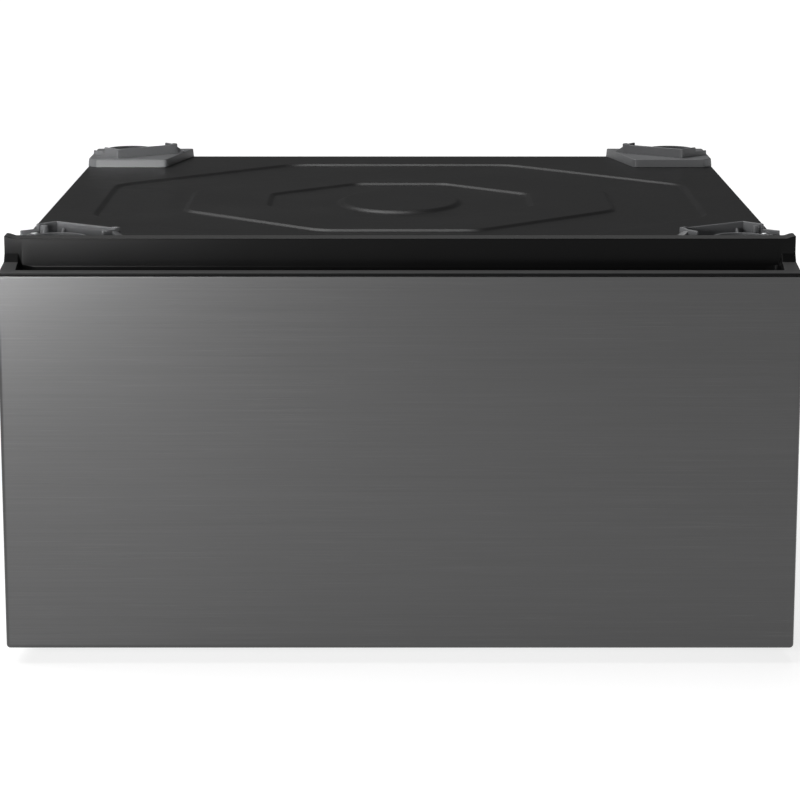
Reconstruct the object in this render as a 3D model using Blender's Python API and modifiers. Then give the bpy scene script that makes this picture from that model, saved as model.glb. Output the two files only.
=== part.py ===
"""Laundry pedestal: a sheet steel base with one wide storage drawer, for a front load machine to stand on.

The cabinet is a pressed deck over two side panels, tied by rails. Four plastic holders on the deck take
the machine's feet. The drawer runs on two full extension slides and is pulled by a cap along its top.
Metres, +Z up, the front faces -Y, and the origin is on the floor under the middle of the pedestal.
"""

import math

import bmesh
import bpy
from mathutils import Matrix

# Driving dimensions
WIDTH = 0.6858  # across the drawer front
DEPTH = 0.795  # drawer front to rear panel
DECK_TOP = 0.3502
DECK_HALF = 0.340
FRONT_BOTTOM = 0.0135
FRONT_TOP = 0.3415
SHEET = 0.0012
GAP = 0.0003

# Cabinet, measured back from the front face of the drawer
CABINET_FRONT = 0.052
SKIRT = 0.030  # the deck's turned down edge
SIDE_OUTER = DECK_HALF - SHEET - GAP
SIDE_INNER = SIDE_OUTER - SHEET
SIDE_FLANGE = 0.020
BASE_Z = 0.015
RAIL_TOP = 0.033
RAIL_SHEET = 0.002
RAIL_WIDTH = 0.050
RAIL_INNER = SIDE_INNER - GAP - RAIL_WIDTH

# Pressed steps in the deck: half widths of the octagons
PRESS = 0.0025
PRESS_SLOPE = 0.008
PRESS_BACK = 0.430
PRESS_OUTER = 0.292
PRESS_MIDDLE = 0.206
PRESS_INNER = 0.130
PRESS_DISC = 0.059
PRESS_DISC_LONG = 0.082

# Levelling feet
FOOT_X = 0.316
FOOT_BACK = (0.100, 0.750)
PAD_RADIUS = 0.019
STEM_RADIUS = 0.005
STEM_TOP = 0.046

# Foot holders: A is inward from the deck's side edge, B from its front or rear edge
HOLDER_LENGTH = 0.105
HOLDER_WIDE = 0.110
HOLDER_NARROW = 0.087
HOLDER_TOP = 0.0088
FENCE_CORNER = (0.033, 0.091)
FENCE_LENGTH = 0.075
FENCE_RETURN = 0.022
FENCE_WALL = 0.003
FENCE_TOP = 0.0185
CUP = (0.041, 0.0345)
CUP_RADIUS = 0.025
CUP_WALL = 0.003
CUP_TOP = 0.0130
CUP_FLOOR = 0.0055
HOLDER_SCREWS = ((0.016, 0.0665), (0.088, 0.020))
SCREW_RADIUS = 0.0021
HEAD_RADIUS = 0.0043
HEAD_HEIGHT = 0.0027
SCREW_HOLE = 0.0026

# Drawer and slides
BACKING_REAR = 0.048
DRAWER_OUTER = 0.307
DRAWER_BOTTOM = 0.040
DRAWER_TOP = 0.300
DRAWER_REAR = 0.660
SLIDE_Z = 0.150
SLIDE_OUTSIDE = 0.321
SLIDE_FRONT = 0.075
SLIDE_REAR = 0.635
CAGE_FRONT = 0.235
CAGE_REAR = 0.475
CAGE_SHEET = 0.0008
FRONT_SCREW_X = 0.2995
SCREW_Z = (0.090, 0.250)

# Handle cap
CAP_HALF = 0.3402
CAP_BASE = FRONT_TOP + GAP
LIP_TOP = 0.3450
WELL_FLOOR = 0.3185
CAP_WALL = 0.0025
WALL_BACK = 0.0365
CAP_TOP = 0.3682
CAP_REAR = 0.0605
CAP_HOOK = 0.3615
WELL_HALF = 0.333
WELL_FRONT = 0.0065

SIDES = (("left", -1), ("right", 1))
ENDS = (("front", 0), ("rear", 1))

BLACK_PAINT = ("black_paint", (0.030, 0.030, 0.032), 0.4, 0.38)
BLACK_PLASTIC = ("black_plastic", (0.018, 0.018, 0.020), 0.0, 0.42)
GREY_PLASTIC = ("grey_plastic", (0.240, 0.245, 0.255), 0.0, 0.50)
DARK_STAINLESS = ("dark_stainless", (0.170, 0.170, 0.175), 1.0, 0.34)
ZINC_STEEL = ("zinc_steel", (0.560, 0.560, 0.570), 1.0, 0.36)
DRAWER_STEEL = ("drawer_steel", (0.600, 0.610, 0.620), 0.7, 0.42)
BLACK_RUBBER = ("black_rubber", (0.020, 0.020, 0.020), 0.0, 0.85)
NYLON = ("cage_plastic", (0.700, 0.700, 0.680), 0.0, 0.50)


def y_at(back):
    """World Y of a distance measured back from the drawer's front face."""
    return back - DEPTH / 2


def collection(name):
    made = bpy.data.collections.new(name)
    bpy.context.scene.collection.children.link(made)
    return made


def clear_scene():
    for thing in list(bpy.data.objects):
        bpy.data.objects.remove(thing, do_unlink=True)


def material(kind):
    name, colour, metallic, roughness = kind
    made = bpy.data.materials.get(name)
    if made is None:
        made = bpy.data.materials.new(name)
        made.use_nodes = True
        shader = made.node_tree.nodes["Principled BSDF"]
        shader.inputs["Base Color"].default_value = (*colour, 1.0)
        shader.inputs["Metallic"].default_value = metallic
        shader.inputs["Roughness"].default_value = roughness
    return made


def place(name, mesh, kind, location=(0, 0, 0)):
    """An object for one sub-part, or a cutter when it has no material."""
    made = bpy.data.objects.new(name, mesh)
    made.location = location
    if kind is None:
        CUTTERS.objects.link(made)
        made.hide_render = True
        made.display_type = "WIRE"
    else:
        PARTS.objects.link(made)
        mesh.materials.append(material(kind))
    return made


def box(name, low, high, kind=None):
    """A block between two corners, with its origin at its centre."""
    centre = [(a + b) / 2 for a, b in zip(low, high, strict=True)]
    size = [abs(b - a) for a, b in zip(low, high, strict=True)]
    shape = bmesh.new()
    bmesh.ops.create_cube(shape, size=1.0, matrix=Matrix.Diagonal((*size, 1.0)))
    mesh = bpy.data.meshes.new(name)
    shape.to_mesh(mesh)
    shape.free()
    return place(name, mesh, kind, centre)


def cone(name, radius_low, radius_high, low, high, centre, kind=None, segments=24, turn=0.0):
    """An upright cylinder or cone between two heights."""
    shape = bmesh.new()
    bmesh.ops.create_cone(
        shape,
        cap_ends=True,
        segments=segments,
        radius1=radius_low,
        radius2=radius_high,
        depth=high - low,
        matrix=Matrix.Rotation(turn, 4, "Z"),
    )
    mesh = bpy.data.meshes.new(name)
    shape.to_mesh(mesh)
    shape.free()
    mesh.shade_smooth()
    mesh.set_sharp_from_angle(angle=math.radians(35))
    return place(name, mesh, kind, (centre[0], centre[1], (low + high) / 2))


def post(name, radius, low, high, centre, kind=None, segments=24):
    return cone(name, radius, radius, low, high, centre, kind, segments)


def turned(name, profile, kind, location, steps=24):
    """A turned solid. The profile is (radius, height) down the outer side, from the axis to the axis."""
    mesh = bpy.data.meshes.new(name)
    edges = [(i, i + 1) for i in range(len(profile) - 1)]
    mesh.from_pydata([(radius, 0.0, height) for radius, height in profile], edges, [])
    made = place(name, mesh, kind, location)
    screw = made.modifiers.new("turn", "SCREW")
    screw.steps = steps
    screw.render_steps = steps
    screw.use_merge_vertices = True
    screw.merge_threshold = 0.00001
    return made


def screw_profile(head, length):
    """A pan head with a plain shank, from the top of the head down."""
    tip = -head - length
    return [
        (0, 0),
        (0.7 * HEAD_RADIUS, 0),
        (HEAD_RADIUS, -0.5 * head),
        (HEAD_RADIUS, -head),
        (SCREW_RADIUS, -head),
        (SCREW_RADIUS, tip + 0.0012),
        (0, tip),
    ]


def outline(name, points, low, high, kind=None, along="Z"):
    """A flat outline made solid between two places along an axis: (x, y) points along Z, (y, z) along X."""
    curve = bpy.data.curves.new(name, "CURVE")
    curve.dimensions = "2D"
    curve.fill_mode = "BOTH"
    curve.extrude = (high - low) / 2
    spline = curve.splines.new("POLY")
    spline.points.add(len(points) - 1)
    for point, (a, b) in zip(spline.points, points, strict=True):
        point.co = (a, b, 0.0, 1.0)
    spline.use_cyclic_u = True
    drawn = bpy.data.objects.new(name + "_outline", curve)
    turns = {
        "Z": Matrix.Identity(4),
        "X": Matrix(((0, 0, 1, 0), (1, 0, 0, 0), (0, 1, 0, 0), (0, 0, 0, 1))),
    }
    middle = (high + low) / 2
    drawn.matrix_world = turns[along] @ Matrix.Translation((0, 0, middle))
    PARTS.objects.link(drawn)
    bpy.context.view_layer.update()
    seen = drawn.evaluated_get(bpy.context.evaluated_depsgraph_get())
    mesh = bpy.data.meshes.new_from_object(seen)
    shape = bmesh.new()
    shape.from_mesh(mesh)
    bmesh.ops.remove_doubles(shape, verts=shape.verts, dist=0.00001)
    bmesh.ops.recalc_face_normals(shape, faces=shape.faces)
    shape.to_mesh(mesh)
    shape.free()
    mesh.name = name
    made = place(name, mesh, kind)
    made.matrix_world = drawn.matrix_world
    bpy.data.objects.remove(drawn, do_unlink=True)
    return made


def boolean(target, tool, operation):
    step = target.modifiers.new(tool.name, "BOOLEAN")
    step.operation = operation
    step.solver = "EXACT"
    step.object = tool
    return target


def cut(target, *tools):
    for tool in tools:
        boolean(target, tool, "DIFFERENCE")
    return target


def join(target, *tools):
    for tool in tools:
        boolean(target, tool, "UNION")
    return target


def hollow(target, low, high, walls):
    """Cuts a box out of a sheet tray. walls has the thickness left at -x, +x, -y, +y, -z and +z."""
    inside_low = [low[axis] + walls[2 * axis] for axis in range(3)]
    inside_high = [high[axis] - walls[2 * axis + 1] for axis in range(3)]
    return cut(target, box(target.name + "_inside", inside_low, inside_high))


def channel(name, profile, low, high, kind, along="Y", thickness=SHEET):
    """Folded sheet: an open profile swept along an axis and made thick towards the profile's left."""
    shape = bmesh.new()
    rows = []
    for end in (low, high):
        if along == "Y":
            rows.append([shape.verts.new((a, end, b)) for a, b in profile])
        else:
            rows.append([shape.verts.new((end, a, b)) for a, b in profile])
    edges = [shape.edges.new(pair) for pair in zip(rows[0], rows[0][1:])]
    edges += [shape.edges.new(pair) for pair in zip(rows[1], rows[1][1:])]
    bmesh.ops.bridge_loops(shape, edges=edges)
    mesh = bpy.data.meshes.new(name)
    shape.to_mesh(mesh)
    shape.free()
    made = place(name, mesh, kind)
    thick = made.modifiers.new("sheet", "SOLIDIFY")
    thick.thickness = thickness
    thick.offset = 0.0
    thick.use_even_offset = True
    return made


# Cabinet


def octagon(name, half, low, high, slope, half_long=None):
    """A pressed octagon round the deck's centre, its low level wider or narrower by the slope."""
    corner = 1 / math.cos(math.pi / 8)
    made = cone(
        name,
        (half + slope) * corner,
        half * corner,
        low,
        high,
        (0.0, y_at(PRESS_BACK)),
        segments=8,
        turn=math.pi / 8,
    )
    if half_long:
        made.scale = (1.0, half_long / half, 1.0)
    return made


def top_deck():
    """The pressed deck: nested octagons go down and up by one step, round a low disc in the middle."""
    low = (-DECK_HALF, y_at(CABINET_FRONT), DECK_TOP - SKIRT)
    high = (DECK_HALF, y_at(DEPTH), DECK_TOP)
    deck = box("top_deck", low, high, BLACK_PAINT)
    over = 0.004
    cut(deck, octagon("outer_over", PRESS_OUTER, DECK_TOP - PRESS, DECK_TOP + over, -PRESS_SLOPE))
    join(deck, octagon("middle_over", PRESS_MIDDLE, DECK_TOP - PRESS - SHEET, DECK_TOP, PRESS_SLOPE))
    cut(deck, octagon("inner_over", PRESS_INNER, DECK_TOP - PRESS, DECK_TOP + over, -PRESS_SLOPE))
    disc_low = DECK_TOP - PRESS - SHEET
    join(deck, octagon("disc_over", PRESS_DISC, disc_low, DECK_TOP, PRESS_SLOPE, PRESS_DISC_LONG))
    under = DECK_TOP - SHEET
    inside_low = (low[0] + SHEET, low[1] + SHEET, low[2] - SHEET)
    inside = box("deck_inside", inside_low, (high[0] - SHEET, high[1] - SHEET, under))
    cut(inside, octagon("outer_under", PRESS_OUTER + SHEET, under - PRESS, under + over, PRESS_SLOPE))
    join(inside, octagon("middle_under", PRESS_MIDDLE, under - PRESS - over, under, PRESS_SLOPE))
    cut(inside, octagon("inner_under", PRESS_INNER + SHEET, under - PRESS, under + over, PRESS_SLOPE))
    disc_low = under - PRESS - over
    join(inside, octagon("disc_under", PRESS_DISC, disc_low, under, PRESS_SLOPE, PRESS_DISC_LONG))
    cut(deck, inside)
    for end, side, number, spot in holder_screw_places():
        name = f"deck_hole_{end}_{side}_{number}"
        cut(deck, post(name, SCREW_HOLE, DECK_TOP - 0.005, DECK_TOP + 0.003, spot, segments=12))
    return deck


def side_panels():
    """Side panels are trays with a flange turned in along every edge."""
    for side, sign in SIDES:
        outer = sign * SIDE_OUTER
        inner = sign * (SIDE_OUTER - SIDE_FLANGE)
        front = y_at(CABINET_FRONT + SHEET + GAP)
        rear = y_at(DEPTH - SHEET - GAP)
        low = [min(outer, inner), front, BASE_Z]
        high = [max(outer, inner), rear, DECK_TOP - SHEET - GAP - PRESS]
        panel = box(f"{side}_side_panel", low, high, BLACK_PAINT)
        open_side = -SHEET * 4
        walls = [SHEET] * 6
        walls[0 if sign > 0 else 1] = open_side
        walls[4] = open_side
        hollow(panel, low, high, walls)


def rear_panel():
    low = (-0.336, y_at(DEPTH - SHEET), 0.016)
    high = (0.336, y_at(DEPTH), DECK_TOP - SKIRT - GAP)
    return box("rear_panel", low, high, BLACK_PAINT)


def cross_rails():
    """The rails that tie the two sides together: folded channels across the cabinet."""
    half = RAIL_SHEET / 2
    top = RAIL_TOP - half
    for name, front, rear in (
        ("front_bottom_rail", 0.056, 0.086),
        ("rear_bottom_rail", 0.755, 0.785),
    ):
        profile = (
            (y_at(front), BASE_Z + 0.001),
            (y_at(front), top),
            (y_at(rear), top),
            (y_at(rear), BASE_Z + 0.001),
        )
        reach = RAIL_INNER - GAP
        channel(name, profile, -reach, reach, ZINC_STEEL, along="X", thickness=RAIL_SHEET)
    reach = SIDE_OUTER - SIDE_FLANGE - GAP
    under_deck = DECK_TOP - SHEET - PRESS - 2 * GAP - SHEET / 2
    for name, front, rear, low in (
        ("front_top_rail", 0.056, 0.086, 0.322),
        ("deck_brace_front", 0.235, 0.275, 0.328),
        ("deck_brace_rear", 0.585, 0.625, 0.328),
    ):
        profile = (
            (y_at(front), low),
            (y_at(front), under_deck),
            (y_at(rear), under_deck),
            (y_at(rear), low),
        )
        channel(name, profile, -reach, reach, ZINC_STEEL, along="X")


def base_rails():
    """The rails that carry the levelling feet, with a clearance hole over each foot."""
    half = RAIL_SHEET / 2
    for side, sign in SIDES:
        outer = sign * (SIDE_INNER - GAP - half)
        inner = sign * (RAIL_INNER + half)
        left, right = min(outer, inner), max(outer, inner)
        profile = (
            (left, BASE_Z + 0.001),
            (left, RAIL_TOP - half),
            (right, RAIL_TOP - half),
            (right, BASE_Z + 0.001),
        )
        rail = channel(
            f"{side}_base_rail", profile, y_at(0.056), y_at(0.785), ZINC_STEEL, thickness=RAIL_SHEET
        )
        for end, _sign in ENDS:
            spot = foot_place(end, side)
            cut(rail, post(f"rail_hole_{end}_{side}", 0.0060, 0.025, 0.040, spot, segments=16))


def slide_brackets():
    for side, sign in SIDES:
        profile = (
            (sign * (SIDE_INNER - GAP), SLIDE_Z - 0.020),
            (sign * (SLIDE_OUTSIDE + SHEET / 2), SLIDE_Z - 0.020),
            (sign * (SLIDE_OUTSIDE + SHEET / 2), SLIDE_Z + 0.020),
            (sign * (SIDE_INNER - GAP), SLIDE_Z + 0.020),
        )
        channel(f"slide_bracket_{side}", profile, y_at(SLIDE_FRONT), y_at(SLIDE_REAR), ZINC_STEEL)


def bumpers():
    """Rubber stops on the front flanges, which the closed drawer front nearly touches."""
    for side, sign in SIDES:
        length = CABINET_FRONT + SHEET + GAP - BACKING_REAR - 2 * GAP
        profile = [(0, length), (0.0055, length), (0.0070, length - 0.0015), (0.0070, 0), (0, 0)]
        place_at = (sign * 0.3285, y_at(CABINET_FRONT + SHEET), 0.280)
        stop = turned(f"bumper_{side}", profile, BLACK_RUBBER, place_at, steps=16)
        stop.rotation_euler = (math.radians(90), 0, 0)


# Foot holders


def holder_point(end, side, a, b):
    """A place over the deck, from its distances in from the deck's side edge and end edge."""
    x = (DECK_HALF - a) * dict(SIDES)[side]
    y = y_at(CABINET_FRONT + b) if end == "front" else y_at(DEPTH - b)
    return (x, y)


def holder_screw_places():
    for end, _index in ENDS:
        for side, _sign in SIDES:
            for number, (a, b) in enumerate(HOLDER_SCREWS, 1):
                yield end, side, number, holder_point(end, side, a, b)


def fence_path(offset):
    """The fence's corners, moved towards the cup by an offset: a return, the long wall, a return."""
    along = (0.8, -0.6)
    across = (-0.6, -0.8)
    a, b = FENCE_CORNER
    start = (a + offset * (along[0] + across[0]), b + offset * (along[1] + across[1]))
    length = FENCE_LENGTH - 2 * offset
    end = (start[0] + length * along[0], start[1] + length * along[1])
    reach = FENCE_RETURN - offset
    first = (start[0] + reach * across[0], start[1] + reach * across[1])
    last = (end[0] + reach * across[0], end[1] + reach * across[1])
    return [first, start, end, last]


def foot_holder(end, side):
    """A plate with a round cup for the machine's foot and a square fence round the cup's inner side."""
    name = f"foot_holder_{end}_{side}"
    inset = 0.0008
    chamfer = 0.010
    plan = [
        (inset, inset),
        (HOLDER_WIDE, inset),
        (HOLDER_NARROW, HOLDER_LENGTH),
        (chamfer, HOLDER_LENGTH),
        (inset, HOLDER_LENGTH - chamfer),
    ]
    base = DECK_TOP + GAP
    points = [holder_point(end, side, a, b) for a, b in plan]
    holder = outline(name, points, base, DECK_TOP + HOLDER_TOP, GREY_PLASTIC)
    wall = fence_path(0.0) + fence_path(FENCE_WALL)[::-1]
    points = [holder_point(end, side, a, b) for a, b in wall]
    join(holder, outline(name + "_fence", points, base + 0.001, DECK_TOP + FENCE_TOP))
    cup = holder_point(end, side, *CUP)
    join(holder, post(name + "_ring", CUP_RADIUS, base + 0.001, DECK_TOP + CUP_TOP, cup, segments=28))
    seat_radius = CUP_RADIUS - CUP_WALL
    cut(holder, post(name + "_seat", seat_radius, DECK_TOP + CUP_FLOOR, DECK_TOP + 0.03, cup, segments=28))
    under_head = DECK_TOP + HOLDER_TOP + GAP
    for number, (a, b) in enumerate(HOLDER_SCREWS, 1):
        spot = holder_point(end, side, a, b)
        through = DECK_TOP + FENCE_TOP
        cut(holder, post(f"{name}_hole_{number}", SCREW_HOLE, DECK_TOP - 0.01, through, spot, segments=12))
        profile = screw_profile(HEAD_HEIGHT, length=0.0123)
        screw_name = f"holder_screw_{end}_{side}_{number}"
        turned(screw_name, profile, ZINC_STEEL, (*spot, under_head + HEAD_HEIGHT), steps=12)
    return holder


# Levelling feet


def foot_place(end, side):
    return (FOOT_X * dict(SIDES)[side], y_at(FOOT_BACK[dict(ENDS)[end]]))


def levelling_foot(end, side):
    """A swivel pad, a threaded stem with a hexagon, and the nut in the base rail."""
    x, y = foot_place(end, side)
    pad = [
        (0, 0.0045),
        (0.0062, 0.0045),
        (0.0062, 0.0075),
        (0.0085, 0.0075),
        (PAD_RADIUS - 0.001, 0.0050),
        (PAD_RADIUS, 0.0040),
        (PAD_RADIUS, 0.0008),
        (PAD_RADIUS - 0.0008, 0),
        (0, 0),
    ]
    turned(f"foot_pad_{end}_{side}", pad, BLACK_RUBBER, (x, y, 0))
    name = f"foot_stem_{end}_{side}"
    stem = post(name, STEM_RADIUS, 0.0045 + GAP, STEM_TOP, (x, y), ZINC_STEEL, segments=16)
    join(stem, post(name + "_hexagon", 0.0085, 0.0095, 0.0155, (x, y), segments=6))
    under = RAIL_TOP - RAIL_SHEET - GAP
    name = f"foot_nut_{end}_{side}"
    nut = post(name, 0.0098, under - 0.007, under, (x, y), ZINC_STEEL, segments=6)
    cut(nut, post(name + "_bore", STEM_RADIUS + GAP, under - 0.010, under + 0.003, (x, y), segments=16))


# Slides


def slides():
    """Each slide has an outer rail on the bracket, a middle rail, an inner rail on the drawer, and cages."""
    half = SHEET / 2
    middle_front = SLIDE_FRONT + 0.005
    middle_rear = SLIDE_REAR - 0.005
    members = (
        ("slide_outer", GAP + half, 0.0105, 0.02275 - half, SHEET, SLIDE_FRONT, SLIDE_REAR, ZINC_STEEL),
        ("outer_cage", 0.0022, 0.0090, 0.0195, CAGE_SHEET, CAGE_FRONT, CAGE_REAR, NYLON),
        ("slide_middle", 0.0030 + half, 0.0110, 0.0173 - half, SHEET, middle_front, middle_rear, ZINC_STEEL),
        ("inner_cage", 0.0049, 0.0108, 0.0136, CAGE_SHEET, CAGE_FRONT, CAGE_REAR, NYLON),
    )
    for side, sign in SIDES:
        for name, web, lip, height, thickness, front, rear, kind in members:
            web_x = sign * (SLIDE_OUTSIDE - web)
            lip_x = sign * (SLIDE_OUTSIDE - lip)
            profile = (
                (lip_x, SLIDE_Z - height),
                (web_x, SLIDE_Z - height),
                (web_x, SLIDE_Z + height),
                (lip_x, SLIDE_Z + height),
            )
            channel(f"{name}_{side}", profile, y_at(front), y_at(rear), kind, thickness=thickness)
        web_x = sign * (DRAWER_OUTER + GAP + half)
        lip_x = sign * (SLIDE_OUTSIDE - 0.0062)
        height = 0.0111 - half
        profile = (
            (lip_x, SLIDE_Z - height),
            (web_x, SLIDE_Z - height),
            (web_x, SLIDE_Z + height),
            (lip_x, SLIDE_Z + height),
        )
        front = y_at(SLIDE_FRONT - 0.015)
        channel(f"slide_inner_{side}", profile, front, y_at(SLIDE_REAR - 0.025), ZINC_STEEL)


# Drawer


def front_panel():
    """The stainless skin: a tray over the drawer front's face, sides and bottom edge."""
    skin = 0.0010
    low = (-WIDTH / 2, y_at(0), FRONT_BOTTOM)
    high = (WIDTH / 2, y_at(0.030), FRONT_TOP)
    panel = box("front_panel", low, high, DARK_STAINLESS)
    return hollow(panel, low, high, [skin, skin, skin, -0.010, skin, -0.010])


def front_screw_hole(name, spot):
    hole = post(name, SCREW_HOLE, -0.01, 0.01, (0, 0), segments=12)
    hole.location = spot
    hole.rotation_euler = (math.radians(90), 0, 0)
    return hole


def front_backing():
    """The box behind the skin, open to the front and at its top, where the handle cap closes it."""
    wall = 0.002
    skin = 0.0010 + GAP
    low = (-WIDTH / 2 + skin, y_at(skin), FRONT_BOTTOM + skin)
    high = (WIDTH / 2 - skin, y_at(BACKING_REAR), FRONT_TOP)
    backing = box("front_backing", low, high, BLACK_PLASTIC)
    hollow(backing, low, high, [wall, wall, -0.010, 0.0025, wall, -0.010])
    for side, sign in SIDES:
        for number, z in enumerate(SCREW_Z, 1):
            spot = (sign * FRONT_SCREW_X, y_at(BACKING_REAR), z)
            cut(backing, front_screw_hole(f"backing_hole_{side}_{number}", spot))
    return backing


def handle_cap():
    """One moulding: a low lip in front, a finger well behind it, a tall wall, and a top over the deck."""
    outer = [
        (y_at(0.0004), CAP_BASE),
        (y_at(0.0004), LIP_TOP - 0.0010),
        (y_at(0.0016), LIP_TOP),
        (y_at(WALL_BACK), LIP_TOP),
        (y_at(WALL_BACK), CAP_TOP - 0.0020),
        (y_at(WALL_BACK + 0.0020), CAP_TOP),
        (y_at(CAP_REAR - 0.0015), CAP_TOP),
        (y_at(CAP_REAR), CAP_TOP - 0.0015),
        (y_at(CAP_REAR), CAP_HOOK),
        (y_at(BACKING_REAR), CAP_HOOK),
        (y_at(BACKING_REAR), CAP_BASE),
    ]
    cap = outline("handle_cap", outer, -CAP_HALF, CAP_HALF, BLACK_PLASTIC, along="X")
    front = WELL_FRONT
    rear = WALL_BACK + CAP_WALL
    reach = WELL_HALF + CAP_WALL
    housing = [
        (y_at(front), LIP_TOP - 0.001),
        (y_at(front), WELL_FLOOR - CAP_WALL),
        (y_at(rear), WELL_FLOOR - CAP_WALL),
        (y_at(rear), LIP_TOP - 0.001),
    ]
    join(cap, outline("well_housing", housing, -reach, reach, along="X"))
    well = [
        (y_at(front + CAP_WALL), LIP_TOP + 0.001),
        (y_at(front + CAP_WALL + 0.0010), WELL_FLOOR + 0.003),
        (y_at(front + CAP_WALL + 0.0050), WELL_FLOOR),
        (y_at(WALL_BACK - 0.0080), WELL_FLOOR),
        (y_at(WALL_BACK - 0.0010), WELL_FLOOR + 0.009),
        (y_at(WALL_BACK - 0.0002), LIP_TOP + 0.001),
    ]
    back_low, back_high = WALL_BACK + 2 * CAP_WALL, BACKING_REAR - CAP_WALL
    behind_low = (-CAP_HALF + CAP_WALL, y_at(back_low), CAP_BASE - 0.01)
    behind_high = (CAP_HALF - CAP_WALL, y_at(back_high), CAP_TOP - CAP_WALL)
    return cut(
        cap,
        outline("well_space", well, -WELL_HALF, WELL_HALF, along="X"),
        box("space_behind_wall", behind_low, behind_high),
    )


def drawer_walls():
    half = SHEET / 2
    front = y_at(BACKING_REAR + GAP)
    rear = y_at(DRAWER_REAR)
    for side, sign in SIDES:
        web = sign * (DRAWER_OUTER - half)
        profile = (
            (sign * (DRAWER_OUTER - 0.012), DRAWER_BOTTOM + half),
            (web, DRAWER_BOTTOM + half),
            (web, DRAWER_TOP - half),
            (sign * (DRAWER_OUTER + 0.008), DRAWER_TOP - half),
        )
        wall = channel(f"drawer_{side}_wall", profile, front, rear, DRAWER_STEEL)
        flange_x = (sign * (DRAWER_OUTER - half), sign * (DRAWER_OUTER - 0.015))
        flange = box(
            f"wall_flange_{side}",
            (min(flange_x), front, SCREW_Z[0] - 0.020),
            (max(flange_x), front + SHEET, SCREW_Z[1] + 0.020),
        )
        join(wall, flange)
        for number, z in enumerate(SCREW_Z, 1):
            spot = (sign * FRONT_SCREW_X, front, z)
            cut(wall, front_screw_hole(f"wall_hole_{side}_{number}", spot))
            head = (spot[0], front + SHEET + GAP + HEAD_HEIGHT, z)
            profile = screw_profile(HEAD_HEIGHT, length=0.0085)
            fixing = turned(f"front_screw_{side}_{number}", profile, ZINC_STEEL, head, steps=12)
            fixing.rotation_euler = (math.radians(-90), 0, 0)
    inner = DRAWER_OUTER - SHEET - GAP
    floor_low = DRAWER_BOTTOM + SHEET + GAP
    box(
        "drawer_bottom",
        (-inner, front, floor_low),
        (inner, rear, floor_low + SHEET),
        DRAWER_STEEL,
    )
    lip = 0.012
    profile = (
        (rear - lip, DRAWER_TOP - 0.010),
        (rear - half, DRAWER_TOP - 0.010),
        (rear - half, floor_low + SHEET + GAP),
    )
    channel("drawer_rear_wall", profile, -inner, inner, DRAWER_STEEL, along="X")


clear_scene()
PARTS = collection("laundry_pedestal")
CUTTERS = collection("cutters")
top_deck()
side_panels()
rear_panel()
cross_rails()
base_rails()
slide_brackets()
bumpers()
for end_name, _index in ENDS:
    for side_name, _sign in SIDES:
        foot_holder(end_name, side_name)
        levelling_foot(end_name, side_name)
slides()
front_panel()
front_backing()
handle_cap()
drawer_walls()
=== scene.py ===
"""Laundry pedestal: a sheet steel base with one wide storage drawer, built on its CAD frame."""

import math

import bmesh
import bpy
import numpy as np
from mathutils import Euler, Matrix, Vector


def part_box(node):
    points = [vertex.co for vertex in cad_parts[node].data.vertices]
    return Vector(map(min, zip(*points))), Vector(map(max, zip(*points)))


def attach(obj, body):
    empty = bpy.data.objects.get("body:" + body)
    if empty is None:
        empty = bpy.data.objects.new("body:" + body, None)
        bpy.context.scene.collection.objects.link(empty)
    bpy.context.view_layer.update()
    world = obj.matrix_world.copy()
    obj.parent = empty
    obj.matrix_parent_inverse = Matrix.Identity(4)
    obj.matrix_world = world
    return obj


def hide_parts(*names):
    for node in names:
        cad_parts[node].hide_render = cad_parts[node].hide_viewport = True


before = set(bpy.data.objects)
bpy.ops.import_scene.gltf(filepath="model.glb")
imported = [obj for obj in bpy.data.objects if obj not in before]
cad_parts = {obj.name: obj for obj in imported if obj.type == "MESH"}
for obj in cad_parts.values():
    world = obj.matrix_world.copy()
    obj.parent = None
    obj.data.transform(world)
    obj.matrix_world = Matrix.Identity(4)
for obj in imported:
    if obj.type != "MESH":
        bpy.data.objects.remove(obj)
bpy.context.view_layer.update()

bl_info = {
    "name": "Laundry pedestal",
    "version": (1, 0, 0),
    "blender": (4, 5, 0),
    "location": "3D Viewport > Sidebar > Pedestal",
    "description": "Builds a laundry pedestal with a wide storage drawer round its CAD frame",
    "category": "Add Mesh",
}

MM = 0.001
SIDES = (("left", -1.0), ("right", 1.0))
ENDS = (("front", 1.0), ("rear", -1.0))
CORNERS = [
    (f"{end_name}_{side_name}", end, side) for end_name, end in ENDS for side_name, side in SIDES
]
CABINET = "cabinet"
DRAWER = "drawer"
SHARP_ANGLE = 32.0

# Places read from the frame
PANEL_LOW, PANEL_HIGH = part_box("front_panel")
DECK_LOW, DECK_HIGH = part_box("top_deck")
CAP_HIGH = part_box("handle_cap")[1]
FRONT_Y = PANEL_LOW.y
DECK_Z = DECK_HIGH.z


def back(distance):
    """World Y of a distance measured back from the drawer's front face."""
    return FRONT_Y + distance


# Surfaces


def smooth_step(value):
    """0 below 0, 1 above 1, and 3v^2 - 2v^3 between."""
    value = np.clip(value, 0.0, 1.0)
    return value * value * (3.0 - 2.0 * value)


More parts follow.
